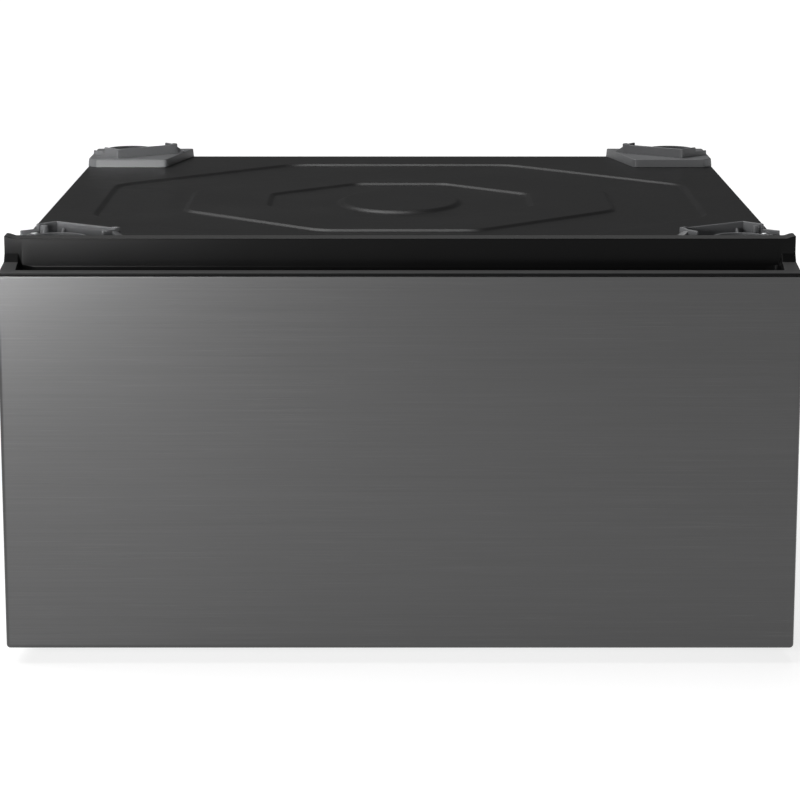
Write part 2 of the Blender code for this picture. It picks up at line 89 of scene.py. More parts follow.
def rounded(corners, radii, steps=5, closed=True):
    """A polygon with arcs for corners. Each arc is tangent to both edges: its centre lies on the
    corner's bisector at radius over the sine of half the corner angle, and its points are swung from
    one tangent point to the other. A corner of radius 0 stays a point. An open path keeps its ends."""
    corners = np.asarray(corners, float)
    radii = np.broadcast_to(np.asarray(radii, float), (len(corners),)).copy()
    if not closed:
        radii[0] = radii[-1] = 0.0
    before = np.roll(corners, 1, axis=0) - corners
    after = np.roll(corners, -1, axis=0) - corners
    if not closed:
        before[0], after[-1] = -after[0], -before[-1]
    before /= np.linalg.norm(before, axis=1)[:, None]
    after /= np.linalg.norm(after, axis=1)[:, None]
    half = np.arccos(np.clip((before * after).sum(1), -1, 1)) / 2
    straight = (half > math.pi / 2 - 1e-4) | (radii < 1e-9)
    half = np.where(straight, math.pi / 4, half)
    reach = np.where(straight, 0.0, radii / np.tan(half))
    start = corners + before * reach[:, None]
    end = corners + after * reach[:, None]
    bisector = before + after
    length = np.linalg.norm(bisector, axis=1)
    bisector /= np.where(length < 1e-9, 1.0, length)[:, None]
    centre = corners + bisector * np.where(straight, 0.0, radii / np.sin(half))[:, None]
    swing = math.pi - 2 * half
    share = np.linspace(0, 1, steps + 1)[None, :, None]
    low = np.sin((1 - share) * swing[:, None, None]) / np.sin(swing)[:, None, None]
    high = np.sin(share * swing[:, None, None]) / np.sin(swing)[:, None, None]
    arcs = centre[:, None] + low * (start - centre)[:, None] + high * (end - centre)[:, None]
    arcs = np.where(straight[:, None, None], corners[:, None], arcs)
    points = arcs.reshape(-1, 2)
    keep = np.ones(len(points), bool)
    keep[1:] = np.linalg.norm(np.diff(points, axis=0), axis=1) > 1e-7
    return points[keep]


def left_of(step):
    """Unit vectors a quarter turn to the left of flat steps."""
    return np.stack([-step[:, 1], step[:, 0]], 1) / np.linalg.norm(step, axis=1)[:, None]


def run_along(path):
    """The distance from a path's start to each of its points: the sum of the steps before it."""
    return np.concatenate([[0], np.cumsum(np.linalg.norm(np.diff(path, axis=0), axis=1))])


def circle(around):
    """Even angles round a full turn, and the unit vector (cos, sin) at each."""
    angle = np.linspace(0, 2 * math.pi, around, endpoint=False)
    return angle, np.stack([np.cos(angle), np.sin(angle)], 1)


def centre_of(low, high):
    """The middle of a box."""
    return (np.array(low) + np.array(high)) / 2


def bent_sheet(path, thickness):
    """The outline of a folded sheet: its middle line moved half a thickness to the left along the
    normals, then back along the right."""
    path = np.asarray(path, float)
    normal = left_of(np.gradient(path, axis=0)) * thickness / 2
    return np.vstack([path + normal, (path - normal)[::-1]])


def folded_sheet(corners, bends, thickness):
    """The outline of a sheet folded along a path of corners, each with its own bend."""
    return bent_sheet(rounded(corners, bends, 6, closed=False), thickness)


def outline(low, high, radii, inset, steps=6):
    """Nested rounded rectangles in step with each other: at an inset k a corner of radius r has its
    arc's centre max(r, k) in from both edges and the radius max(r - k, 0). The corners run low-low,
    high-low, high-high, low-high, and inset is an array of one row for each rectangle."""
    low, high = np.asarray(low, float), np.asarray(high, float)
    turn = np.linspace(0, math.pi / 2, steps + 1)
    angle = np.concatenate([turn + math.pi * (1 + quarter / 2) for quarter in range(4)])
    corner = np.repeat(np.array([(0, 0), (1, 0), (1, 1), (0, 1)]), steps + 1, axis=0)
    radius = np.repeat(np.broadcast_to(np.asarray(radii, float), (4,)), steps + 1)
    inset = np.asarray(inset, float)
    inset = inset[:, None] if inset.ndim == 1 else inset
    inset = np.broadcast_to(inset, (inset.shape[0], len(angle)))
    toward = 1 - 2 * corner
    edge = low + (high - low) * corner
    centre = edge[None] + toward[None] * np.maximum(radius[None], inset)[..., None]
    arm = np.maximum(radius[None] - inset, 0.0)[..., None]
    return centre + arm * np.stack([np.cos(angle), np.sin(angle)], 1)[None]


def lifted(flat, height, axes="xyz"):
    """Flat points and a height made into 3D points. axes names what the two flat values and the
    height are, so "xzy" puts a flat outline upright with its height along Y."""
    flat = np.asarray(flat, float)
    height = np.broadcast_to(np.asarray(height, float), flat.shape[:-1])
    values = {axes[0]: flat[..., 0], axes[1]: flat[..., 1], axes[2]: height}
    return np.stack([values["x"], values["y"], values["z"]], -1)


class Shell:
    """Closed shells gathered into one piece. Each is a stack of rings with as many points each."""

    def __init__(self):
        self.points = []
        self.faces = []
        self.count = 0

    def rings(self, loops, start="flat", end="flat"):
        """Joins each ring to the next with quads. An end is closed flat as one face, as a strip
        across a sheet's edge, as a point, or left open; "loop" joins the last ring to the first."""
        loops = np.asarray(loops, float)
        amount, around = loops.shape[:2]
        grid = self.count + np.arange(amount * around).reshape(amount, around)
        self.points.append(loops.reshape(-1, 3))
        self.count += amount * around
        rows = np.vstack([grid, grid[:1]]) if end == "loop" else grid
        beside = np.roll(rows, -1, axis=1)
        quads = np.stack([rows[:-1], beside[:-1], beside[1:], rows[1:]], -1)
        self.faces += quads.reshape(-1, 4).tolist()
        for kind, ring, loop in ((start, grid[0][::-1], loops[0]), (end, grid[-1], loops[-1])):
            if kind == "flat":
                self.faces.append(ring.tolist())
            elif kind == "strip":
                half = around // 2
                near, far = ring[:half], ring[::-1][:half]
                strip = np.stack([near[:-1], near[1:], far[1:], far[:-1]], -1)
                self.faces += strip.tolist()
            elif kind == "point":
                self.points.append(loop.mean(0)[None])
                self.faces += np.stack(
                    [ring, np.roll(ring, -1), np.full(around, self.count)], -1
                ).tolist()
                self.count += 1
        return self

    def sweep(self, section, stations, axes):
        """A sheet's flat section carried straight along an axis, from station to station."""
        return self.rings([lifted(section, station, axes) for station in stations], "strip", "strip")

    def turn(self, profile, centre, around=32, axes="xyz"):
        """A turned body: each profile point (radius, height) swept round a full circle. The ends of
        the profile lie on the axis, which is the last of axes."""
        profile = np.asarray(profile, float)
        ray = circle(around)[1]
        loops = lifted(profile[:, :1, None] * ray, profile[:, 1:], axes)
        return self.rings(loops + np.asarray(centre, float))

    def mesh(self, name):
        made = bpy.data.meshes.new(name)
        made.from_pydata(np.concatenate(self.points), [], self.faces)
        shape = bmesh.new()
        shape.from_mesh(made)
        bmesh.ops.remove_doubles(shape, verts=shape.verts, dist=2e-6)
        bmesh.ops.dissolve_degenerate(shape, edges=shape.edges, dist=1e-6)
        bmesh.ops.recalc_face_normals(shape, faces=shape.faces)
        shape.to_mesh(made)
        shape.free()
        return made


def placed(name, data):
    """A new object in the scene."""
    made = bpy.data.objects.new(name, data)
    bpy.context.scene.collection.objects.link(made)
    return made


def piece(shell, name, finish, body, replaced=()):
    """A finished piece: smooth faces with sharp edges over an angle, its finish, its body and the
    CAD nodes that it stands for."""
    mesh = shell.mesh(name)
    mesh.shade_smooth()
    mesh.set_sharp_from_angle(angle=math.radians(SHARP_ANGLE))
    mesh.materials.append(finish)
    made = placed(name, mesh)
    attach(made, body)
    if replaced:
        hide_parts(*replaced)
    return made


# Finishes


class Socket:
    """A shader value. Sums on it add Math nodes."""

    def __init__(self, finish, output):
        self.finish = finish
        self.output = output

    def _sum(self, operation, first, second):
        return self.finish.node("ShaderNodeMath", {"operation": operation}, {0: first, 1: second})

    def __add__(self, other):
        return self._sum("ADD", self, other)

    def __radd__(self, other):
        return self._sum("ADD", other, self)

    def __sub__(self, other):
        return self._sum("SUBTRACT", self, other)

    def __rsub__(self, other):
        return self._sum("SUBTRACT", other, self)

    def __mul__(self, other):
        return self._sum("MULTIPLY", self, other)

    def __rmul__(self, other):
        return self._sum("MULTIPLY", other, self)


class Finish:
    """One material, with its shader and the piece's own coordinates."""

    def __init__(self, name, roughness, metallic=0.0, **constants):
        self.material = bpy.data.materials.new(name)
        self.material.use_nodes = True
        self.tree = self.material.node_tree
        self.shader = self.tree.nodes["Principled BSDF"]
        self.shader.inputs["Roughness"].default_value = roughness
        self.shader.inputs["Metallic"].default_value = metallic
        for key, value in constants.items():
            self.shader.inputs[key.replace("_", " ")].default_value = value
        self.place = self.node("ShaderNodeTexCoord", output="Object")

    def node(self, kind, settings=None, inputs=None, output=0):
        """A node of a type: its settings first, then the value or link of each socket."""
        made = self.tree.nodes.new(kind)
        for key, value in (settings or {}).items():
            setattr(made, key, value)
        for key, value in (inputs or {}).items():
            if isinstance(value, Socket):
                self.tree.links.new(value.output, made.inputs[key])
            else:
                made.inputs[key].default_value = value
        return Socket(self, made.outputs[output])

    def stretched(self, scale, turn=(0.0, 0.0, 0.0), at=(0.0, 0.0, 0.0)):
        inputs = {"Vector": self.place, "Scale": scale, "Rotation": turn, "Location": at}
        return self.node("ShaderNodeMapping", {"vector_type": "POINT"}, inputs)

    def noise(self, scale, detail, rough, place=None, distortion=0.0):
        inputs = {"Vector": place or self.place, "Scale": scale, "Detail": detail}
        inputs.update(Roughness=rough, Distortion=distortion)
        return self.node("ShaderNodeTexNoise", {}, inputs)

    def patches(self, scale, detail, rough, low, high, place=None, distortion=0.0):
        """Noise that is 0 below one value and 1 above another."""
        return self.spread(self.noise(scale, detail, rough, place, distortion), low, high)

    def cells(self, scale, feature="F1", output="Distance"):
        return self.node(
            "ShaderNodeTexVoronoi", {"feature": feature}, {"Vector": self.place, "Scale": scale}, output
        )

    def spread(self, value, low, high):
        return self.node("ShaderNodeMapRange", {}, {"Value": value, "From Min": low, "From Max": high})

    def mixed(self, share, first, second):
        return self.node("ShaderNodeMix", {"data_type": "RGBA"}, {0: share, 6: first, 7: second}, 2)

    def surface(self, shade, rough, height, strength, distance):
        """Joins a colour, a roughness and a bump of a height to the shader."""
        bumps = {"Height": height, "Strength": strength, "Distance": distance}
        normal = self.node("ShaderNodeBump", {}, bumps, "Normal")
        return self.wear(Base_Color=shade, Roughness=rough, Normal=normal)

    def wear(self, **links):
        """Joins what varies over the surface to the shader, and gives back the material."""
        for key, value in links.items():
            self.tree.links.new(value.output, self.shader.inputs[key.replace("_", " ")])
        return self.material


def grey(value, tint=(1.0, 1.0, 1.0)):
    return (value * tint[0], value * tint[1], value * tint[2], 1.0)


def brushed_stainless(settings):
    """Dark stainless brushed from side to side: long fine lines, a few deeper ones, and faint
    patches left by handling."""
    made = Finish("brushed_dark_stainless", 0.30, 1.0, Anisotropic=0.1, Anisotropic_Rotation=0.25)
    tone = settings.panel_tone
    fine = made.noise(1.0, 4.0, 0.65, made.stretched((9.0, 9.0, 2600.0)))
    hair = made.noise(1.0, 3.0, 0.6, made.stretched((3.0, 3.0, 700.0), at=(3.1, 0.7, 1.9)))
    grooves = made.stretched((14.0, 14.0, 1500.0), at=(5.0, 2.0, 8.0))
    deep = made.patches(1.0, 2.0, 0.5, 0.60, 0.72, grooves)
    cloud = made.noise(2.2, 3.0, 0.5)
    lines = fine * 0.62 + hair * 0.38
    shade = made.mixed(lines, grey(tone * 0.80), grey(tone * 1.22, (1.0, 1.0, 1.01)))
    shade = made.mixed(deep * 0.16, shade, grey(tone * 1.7))
    rough = 0.24 + lines * 0.10 + cloud * 0.04 - deep * 0.03
    return made.surface(shade, rough, fine * 0.7 + hair * 0.5 + deep * 0.3, 0.05, 0.00004)


def satin_black_paint(settings):
    """Black paint baked on pressed steel: orange peel, a thin film of dust and a few fine rubs."""
    made = Finish("satin_black_paint", 0.4, 0.0, Specular_IOR_Level=0.30)
    tone = settings.paint_tone
    peel = made.noise(620.0, 2.0, 0.5)
    fine = made.noise(2600.0, 2.0, 0.5)
    dust = made.patches(9.0, 5.0, 0.62, 0.42, 0.74)
    speck = made.patches(1500.0, 1.0, 0.5, 0.70, 0.78)
    rubs = made.patches(
        1.0, 2.0, 0.5, 0.66, 0.80, made.stretched((6.0, 90.0, 30.0), (0.0, 0.0, 0.5))
    )
    shade = made.mixed(dust * 0.5, grey(tone, (1.0, 1.0, 1.03)), grey(tone * 1.35))
    shade = made.mixed(speck * 0.25, shade, grey(tone * 3.0))
    rough = 0.31 + dust * 0.09 + fine * 0.05 - rubs * 0.05
    return made.surface(shade, rough, peel * 0.8 + fine * 0.2, 0.12, 0.00025)


def moulded_plastic(name, tone, tint, roughness, grain, mottle, gloss=0.5, top_light_and_dust=0.0):
    """Moulded plastic: a fine spark-eroded grain over a slow mottle, with paler flow marks, and
    where it is given a tone for them, painted top light: the faces that look up are made paler,
    as if lit from above, with some dust."""
    made = Finish(name, roughness, 0.0, Specular_IOR_Level=gloss)
    bead = made.cells(1900.0, "SMOOTH_F1")
    fine = made.noise(4200.0, 2.0, 0.5)
    slow = made.noise(26.0, 4.0, 0.6)
    flow = made.patches(7.0, 2.0, 0.5, 0.45, 0.60, distortion=1.2)
    shade = made.mixed(slow, grey(tone * (1 - mottle), tint), grey(tone * (1 + mottle), tint))
    shade = made.mixed(flow * 0.12, shade, grey(tone * 1.25, tint))
    # Painted top light: the faces that look up are mixed towards a paler grey, as if lit from above, with
    # some dust.
    if top_light_and_dust:
        facing = made.node("ShaderNodeTexCoord", output="Normal")
        upward = made.node("ShaderNodeSeparateXYZ", {}, {"Vector": facing}, "Z")
        # dust here is painted top light with some dust: how far each face looks up, times a slow mottle.
        dust = made.spread(upward, 0.72, 0.97) * (slow * 0.4 + 0.8)
        shade = made.mixed(dust, shade, grey(top_light_and_dust))
    rough = roughness - 0.05 + slow * 0.06 + fine * 0.05
    return made.surface(shade, rough, bead * 0.7 + fine * 0.5, grain, 0.00012)


def zinc_plate(name, spangle):
    """Zinc on steel: crystals of their own tone and shine, strong on dipped sheet and faint on bright
    plating, with drawing lines and dull bloom."""
    made = Finish(name, 0.34, 1.0)
    crystal = made.cells(150.0, output="Color")
    tone = made.node("ShaderNodeRGBToBW", {}, {"Color": crystal})
    drawn = made.noise(1.0, 3.0, 0.6, made.stretched((700.0, 10.0, 700.0)))
    bloom = made.patches(14.0, 4.0, 0.6, 0.45, 0.70)
    shade = made.mixed(tone * spangle, grey(0.46, (1.0, 1.01, 1.03)), grey(0.62))
    shade = made.mixed(drawn * 0.30, shade, grey(0.50, (1.0, 1.0, 1.01)))
    shade = made.mixed(bloom * 0.30, shade, grey(0.38, (1.0, 1.02, 1.05)))
    rough = 0.24 + tone * (0.12 * spangle) + bloom * 0.14 + drawn * 0.08
    return made.surface(shade, rough, tone * (0.6 * spangle) + drawn * 0.4, 0.10, 0.00006)


def powder_coat(name, tone, tint):
    """Powder coat on the drawer's steel: a fine wrinkle, pale and dark specks, and slow clouding."""
    made = Finish(name, 0.5, 0.0)
    wrinkle = made.noise(1400.0, 3.0, 0.55)
    speck = made.patches(2400.0, 1.0, 0.5, 0.62, 0.72)
    apart = made.stretched((1.0, 1.0, 1.0), at=(4.0, 1.0, 2.0))
    dark = made.patches(2000.0, 1.0, 0.5, 0.64, 0.74, apart)
    cloud = made.noise(5.0, 4.0, 0.55)
    shade = made.mixed(cloud, grey(tone * 0.93, tint), grey(tone * 1.07, tint))
    shade = made.mixed(speck * 0.30, shade, grey(tone * 1.5, tint))
    shade = made.mixed(dark * 0.30, shade, grey(tone * 0.5, tint))
    rough = 0.46 + wrinkle * 0.10 + cloud * 0.04
    return made.surface(shade, rough, wrinkle, 0.22, 0.0002)


def black_rubber():
    """Rubber: matt and grainy, with pale bloom in patches."""
    made = Finish("black_rubber_moulded", 0.85, 0.0, Specular_IOR_Level=0.35)
    grain = made.noise(1700.0, 3.0, 0.6)
    bloom = made.patches(60.0, 4.0, 0.6, 0.48, 0.70)
    shade = made.mixed(bloom, grey(0.017), grey(0.040, (1.0, 0.99, 0.96)))
    rough = 0.74 + grain * 0.14 + bloom * 0.06
    return made.surface(shade, rough, grain, 0.30, 0.0002)


def bearing_steel():
    """Hardened balls: bright, with a faint film of grease and hair scratches."""
    made = Finish("bearing_steel", 0.14, 1.0)
    film = made.patches(240.0, 4.0, 0.6, 0.40, 0.68)
    scratch = made.patches(1.0, 2.0, 0.5, 0.62, 0.74, made.stretched((260.0, 3200.0, 900.0)))
    shade = made.mixed(film, grey(0.74), grey(0.55, (1.0, 0.97, 0.90)))
    rough = 0.10 + film * 0.16 + scratch * 0.08
    return made.surface(shade, rough, scratch, 0.05, 0.00003)


def studio_floor(settings):
    """A plain pale floor with the faintest mottle."""
    made = Finish("pale_floor", 0.62, 0.0, Specular_IOR_Level=0.2, Emission_Strength=1.70)
    cloud = made.noise(1.3, 3.0, 0.5)
    fine = made.noise(220.0, 2.0, 0.5)
    tone = settings.floor_tone
    shade = made.mixed(cloud, grey(tone * 0.995), grey(tone * 1.005))
    rough = 0.58 + fine * 0.08
    return made.wear(Base_Color=shade, Roughness=rough, Emission_Color=shade)


FINISHES = {}


def finishes(settings):
    """Every finish by its short name, made once."""
    if not FINISHES:
        FINISHES.update(
            stainless=brushed_stainless(settings),
            paint=satin_black_paint(settings),
            black=moulded_plastic(
                # The last value is painted top light: the paler grey of the black plastic's faces that
                # look up, with some dust.
                "moulded_black_plastic", settings.cap_tone, (1.0, 1.0, 1.02), 0.25, 0.07, 0.06, 0.07, 0.065
            ),
            grey=moulded_plastic(
                "moulded_grey_plastic", settings.holder_tone, (0.985, 1.0, 1.03), 0.48, 0.16, 0.07
            ),
            zinc=zinc_plate("zinc_plated_steel", 0.7),
            plated=zinc_plate("bright_plated_steel", 0.12),
            powder=powder_coat("grey_powder_coat", 0.42, (0.99, 1.0, 1.02)),
            rubber=black_rubber(),
            nylon=moulded_plastic("cage_nylon", 0.60, (1.0, 0.99, 0.94), 0.45, 0.08, 0.04),
            balls=bearing_steel(),
        )
    return FINISHES


# Pieces, each after the sizes that only its looks need

DECK_SHEET = 1.2 * MM
DECK_BEND = 2.2 * MM
BORDER = 30.0 * MM
PRESS_CENTRE = (0.0, back(0.430))
DISC_CENTRE = (0.0, back(0.422))
DISC_HALF = (0.059, 0.082)
PRESS_SLOPE = 0.0064
OCTAGONS = ((0.1285, 0.960), (0.2085, 0.960), (0.2920, 0.995))


def subdivided(rows, longest):
    """Nested outlines with their long sides cut into pieces no longer than a length, all in step:
    each new point lies a share of the way from one corner to the next."""
    following = np.roll(rows, -1, axis=1)
    length = np.linalg.norm(following[0] - rows[0], axis=1)
    amount = np.maximum(1, np.ceil(length / longest).astype(int))
    index = np.repeat(np.arange(len(amount)), amount)
    first = np.repeat(np.cumsum(amount) - amount, amount)
    share = ((np.arange(len(index)) - first) / amount[index])[None, :, None]
    return rows[:, index] * (1 - share) + following[:, index] * share


def octagon_size(x, y, slant):
    """How far out a point is in octagons: the 60-norm of its distances along four directions 45
    degrees apart, which is an octagon with slightly softened corners. The slanted sides stand nearer
    by a share of the straight ones."""
    directions = np.radians([0.0, 45.0, 90.0, 135.0])
    away = np.abs(x[..., None] * np.cos(directions) + y[..., None] * np.sin(directions))
    away = away / np.array([1.0, slant, 1.0, slant])
    largest = away.max(-1, keepdims=True)
    return largest[..., 0] * ((away / largest) ** 60).sum(-1) ** (1 / 60)


def deck_height(x, y, depth):
    """The pressed deck's height: three octagons, one inside the other, each joined to the next by a
    narrow smooth slope, and an oval disc in the middle. The outer octagon is sunk, the middle one
    comes back up, the inner one is sunk again, and the disc stands up out of it."""
    inner, middle, outer = (
        smooth_step(
            (half - octagon_size(x - PRESS_CENTRE[0], y - PRESS_CENTRE[1], slant)) / PRESS_SLOPE + 0.5
        )
        for half, slant in OCTAGONS
    )
    oval = np.hypot((x - DISC_CENTRE[0]) / DISC_HALF[0], (y - DISC_CENTRE[1]) / DISC_HALF[1])
    disc = smooth_step((1.0 - oval) / 0.09 + 0.5)
    return depth * (middle - outer - inner + 1.3 * disc)


def deck_border(bend, sunk):
    """How far in from the deck's edge and how far down its border rings lie: over the flat border,
    round a quarter bend and down the skirt, for a face that is sunk from the sheet's outer one."""
    turn = np.linspace(0, math.pi / 2, 5)
    flat = [bend + BORDER, bend + 0.4 * MM]
    inset = sunk + np.concatenate([flat, bend * (1 - np.sin(turn)), [0.0]])
    skirt = DECK_HIGH.z - DECK_LOW.z
    drop = np.concatenate([[sunk, sunk], sunk + bend * (1 - np.cos(turn)), [skirt]])
    return inset, drop


def make_deck(settings):
    """The deck is rings round the pressing's middle. Each border point gives a direction. Along it
    lie rings inside and outside every pressed step, then the border, the bend and the skirt. The
    same rings one sheet lower close the underside."""
    inset, drop = deck_border(DECK_BEND, 0.0)
    under_inset, under_drop = deck_border(DECK_BEND - DECK_SHEET, DECK_SHEET)
    low, high = (DECK_LOW.x, DECK_LOW.y), (DECK_HIGH.x, DECK_HIGH.y)
    rows = outline(low, high, 3.5 * MM, np.concatenate([inset, under_inset]))
    rows = subdivided(rows, 0.0065)
    edge = rows[0] - np.array(PRESS_CENTRE)
    way = edge / np.linalg.norm(edge, axis=1)[:, None]
    oval = 1 / np.hypot(way[:, 0] / DISC_HALF[0], way[:, 1] / DISC_HALF[1])
    spread = np.array([-0.8, -0.5, -0.36, -0.22, -0.08, 0.08, 0.22, 0.36, 0.5, 0.8]) * PRESS_SLOPE
    reach = [oval * share for share in np.linspace(0.08, 1.16, 34)]
    reach += [
        (half + step) / octagon_size(way[:, 0], way[:, 1], slant)
        for half, slant in OCTAGONS
        for step in spread
    ]
    reach = np.array(reach)
    flat = np.array(PRESS_CENTRE) + reach[..., None] * way[None]
    lift = deck_height(flat[..., 0], flat[..., 1], settings.press_depth)
    over, under = rows[: len(inset)], rows[len(inset) :]
    loops = np.concatenate(
        [
            lifted(flat, DECK_Z + lift),
            lifted(over, DECK_Z - drop[:, None]),
            lifted(under[::-1], DECK_Z - under_drop[::-1, None]),
            lifted(flat[::-1], DECK_Z + lift[::-1] - DECK_SHEET),
        ]
    )
    shell = Shell().rings(loops, "point", "point")
    return piece(shell, "pressed_deck", finishes(settings)["paint"], CABINET, ["top_deck"])


# Heights over the floor, distances back from the drawer's face and half widths of the cap
CAP_BASE = 0.3418
LIP_FRONT = 0.3440
LIP_BACK = 0.3458
SHELF_BACK = 0.3492
CAP_WALL = 0.0395
CAP_BACK = 0.0605
WELL_TOP_HALF = 0.3280
WELL_FLOOR_HALF = 0.3150
CHEEK_START = 0.3255
HORN_START = 0.3312
HORN_FOOT = 0.3600
HORN_RISE = 1.9 * MM
HOUSING_END = 0.3355
SLOT_END = 0.3377
SLOT_FRONT, SLOT_BACK, SLOT_TOP = 0.0420, 0.0460, 0.3657


def make_cap(settings):
    """The cap is one closed section carried from end to end. Between its lip and its wall the section
    dips into the finger well. The well's floor rises to nothing over a slanted end, and past it the
    dip is a shelf that climbs gently from the lip and turns up into the wall by a 2 mm round. The
    top edge rises into a small horn at each end. The housing and the slot under the cap, which the
    drawer front's sheets stand in, close before its ends."""
    base, top = CAP_BASE, CAP_HIGH.z
    corners = np.array(
        [
            (0.0004, base), (0.0004, LIP_FRONT), (0.0088, LIP_BACK), (0.0102, 0.3185), (0.0318, 0.3185),
            (CAP_WALL, 0.3440), (CAP_WALL, top), (CAP_BACK, top), (CAP_BACK, 0.3615), (0.0480, 0.3615),
            (0.0480, base), (SLOT_BACK, base), (SLOT_BACK, SLOT_TOP), (SLOT_FRONT, SLOT_TOP),
            (SLOT_FRONT, base), (0.0410, base), (0.0390, 0.3160), (0.0065, 0.3160), (0.0065, base),
        ]
    )  # fmt: skip
    radii = np.array([3, 7, 10, 45, 60, 30, 9, 16, 5, 5, 3, 3, 5, 5, 3, 3, 10, 10, 3]) * 1e-4
    section = rounded(corners, radii, 7)
    behind, height = section[:, 0], section[:, 1]
    order = np.arange(len(section))
    dip_start = order[behind > 0.0070].min()
    dip_end = order[(np.abs(behind - CAP_WALL) < 2e-5) & (height > 0.36)].min()
    lip = height[dip_start]
    in_dip = (order >= dip_start) & (order <= dip_end)
    run = run_along(section)
    shelf = [(behind[dip_start], lip), (CAP_WALL, SHELF_BACK), (CAP_WALL, height[dip_end])]
    shelf = rounded(shelf, 2.0 * MM, 8, closed=False)
    shelf_run = run_along(shelf)
    share = np.clip((run - run[dip_start]) / (run[dip_end] - run[dip_start]), 0, 1)
    sweep_behind = np.interp(share * shelf_run[-1], shelf_run, shelf[:, 0])
    sweep_height = np.interp(share * shelf_run[-1], shelf_run, shelf[:, 1])
    half = np.concatenate(
        [
            np.linspace(0, 0.31, 16), np.linspace(0.3135, 0.3250, 10), np.linspace(0.3256, 0.3366, 19),
            np.linspace(0.3372, CAP_HIGH.x, 8),
        ]
    )  # fmt: skip
    across = np.concatenate([-half[:0:-1], half])[:, None]
    out = np.abs(across)
    straight = np.clip((WELL_TOP_HALF - out) / (WELL_TOP_HALF - WELL_FLOOR_HALF), 0, 1)
    well = 0.45 * straight + 0.55 * smooth_step(straight)
    housing = np.clip((HOUSING_END - out) / (3.0 * MM), 0, 1)
    slot = np.clip((SLOT_END - out) / (0.5 * MM), 0, 1)
    cheek = smooth_step((out - CHEEK_START) / (3.0 * MM))
    horn = HORN_RISE * smooth_step((out - HORN_START) / (8.0 * MM))
    z = np.broadcast_to(height, (len(across), len(height))).copy()
    y = np.broadcast_to(behind, z.shape).copy()
    z = np.where(in_dip & (height < lip), lip - (lip - height) * well, z)
    z = np.where(in_dip, z * (1 - cheek) + sweep_height * cheek, z)
    y = np.where(in_dip, y * (1 - cheek) + sweep_behind * cheek, y)
    late = order > dip_end
    z = np.where(late & (height < base), base - (base - height) * housing, z)
    in_slot = (behind > SLOT_FRONT - 2.0 * MM) & (behind < SLOT_BACK + 0.6 * MM)
    in_slot = in_slot & late & (height > base) & (height < SLOT_TOP + 0.5 * MM)
    z = np.where(in_slot, base + (height - base) * slot, z)
    z = z + horn * smooth_step((height - HORN_FOOT) / (6.0 * MM)) * np.where(in_slot, 0.0, 1.0)
    loops = np.stack([np.broadcast_to(across, z.shape), back(y), z], -1)
    shell = Shell().rings(loops)
    made = piece(shell, "moulded_handle_cap", finishes(settings)["black"], DRAWER, ["handle_cap"])
    return softened(made, 0.7 * MM, 60.0)


def softened(made, width, angle):
    """Rounds a piece's sharp edges over an angle."""
    step = made.modifiers.new("soft edges", "BEVEL")
    step.width = width
    step.segments = 2
    step.limit_method = "ANGLE"
    step.angle_limit = math.radians(angle)
    step.use_clamp_overlap = True
    step.harden_normals = False
    return made


def tray(low, high, radii, bend, skin, face, depth, axes, open_top=False):
    """A sheet tray: nested outlines run over its face, round a quarter bend and down its sides, turn
    over the rim, and come back one skin inside. Where the top is open the sheet ends at a small
    rounded edge. depth is signed: which way the sides go from the face."""
    steps = 6
    count = 4 * (steps + 1)
    on_top = np.zeros(count)
    if open_top:
        ramp = np.linspace(0, 1, steps + 1)
        on_top[2 * (steps + 1) : 3 * (steps + 1)] = np.clip(ramp * 3, 0, 1)
        on_top[3 * (steps + 1) :] = np.clip((1 - ramp) * 3, 0, 1)
    way = math.copysign(1.0, depth)
    radius = bend * (1 - on_top) + 0.6 * MM * on_top
    reach = abs(depth) * (1 - on_top) + (skin + 0.4 * MM) * on_top
    inner = np.maximum(radius - skin, 0.25 * MM)
    rim = 0.15 * MM
    turn = np.linspace(0, math.pi / 2, 9)[:, None]
    level = np.zeros(count)
    inset = np.vstack(
        [
            radius + 4 * MM, radius + 0.4 * MM, radius * (1 - np.sin(turn)), level, level + rim,
            level + skin - rim, level + skin, skin + inner * (1 - np.sin(turn[::-1])),
            skin + inner + 0.4 * MM,
        ]
    )  # fmt: skip
    deep = np.vstack(
        [
            level, level, radius * (1 - np.cos(turn)), reach - rim, reach,
            reach, reach - rim, skin + inner * (1 - np.cos(turn[::-1])), level + skin,
        ]
    )  # fmt: skip
    return lifted(outline(low, high, radii, inset, steps), face + way * deep, axes)


def make_front(settings):
    """The stainless skin and the moulded box behind it are two trays, mouth to mouth, both open at
    the top where the cap closes them."""
    finish = finishes(settings)
    low, high = (PANEL_LOW.x, PANEL_LOW.z), (PANEL_HIGH.x, PANEL_HIGH.z)
    radii = np.array([3.4, 3.4, 0.9, 0.9]) * MM
    depth = PANEL_HIGH.y - PANEL_LOW.y
    loops = tray(low, high, radii, settings.panel_bend, 1.0 * MM, PANEL_LOW.y, depth, "xzy", True)
    piece(Shell().rings(loops), "front_skin", finish["stainless"], DRAWER, ["front_panel"])
    low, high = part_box("front_backing")
    loops = tray(
        (low.x, low.z), (high.x, high.z), np.array([2.5, 2.5, 0.9, 0.9]) * MM, 1.8 * MM, 2.0 * MM,
        high.y, low.y - high.y, "xzy", True,
    )  # fmt: skip
    piece(Shell().rings(loops), "moulded_backing", finish["black"], DRAWER, ["front_backing"])


def slab(low, high, counts, thickness, height, axes):
    """A sheet with a pressed pattern: stations along the first axis each carry a closed loop, out
    over the second axis on the height, then back one thickness below it."""
    along = np.linspace(low[0], high[0], counts[0])
    across = np.linspace(low[1], high[1], counts[1])
    first, second = np.meshgrid(along, across, indexing="ij")
    level = height(first, second)
    over = lifted(np.stack([first, second], -1), level, axes)
    under = lifted(np.stack([first, second], -1), level - thickness, axes)
    return np.concatenate([over, under[:, ::-1]], axis=1)


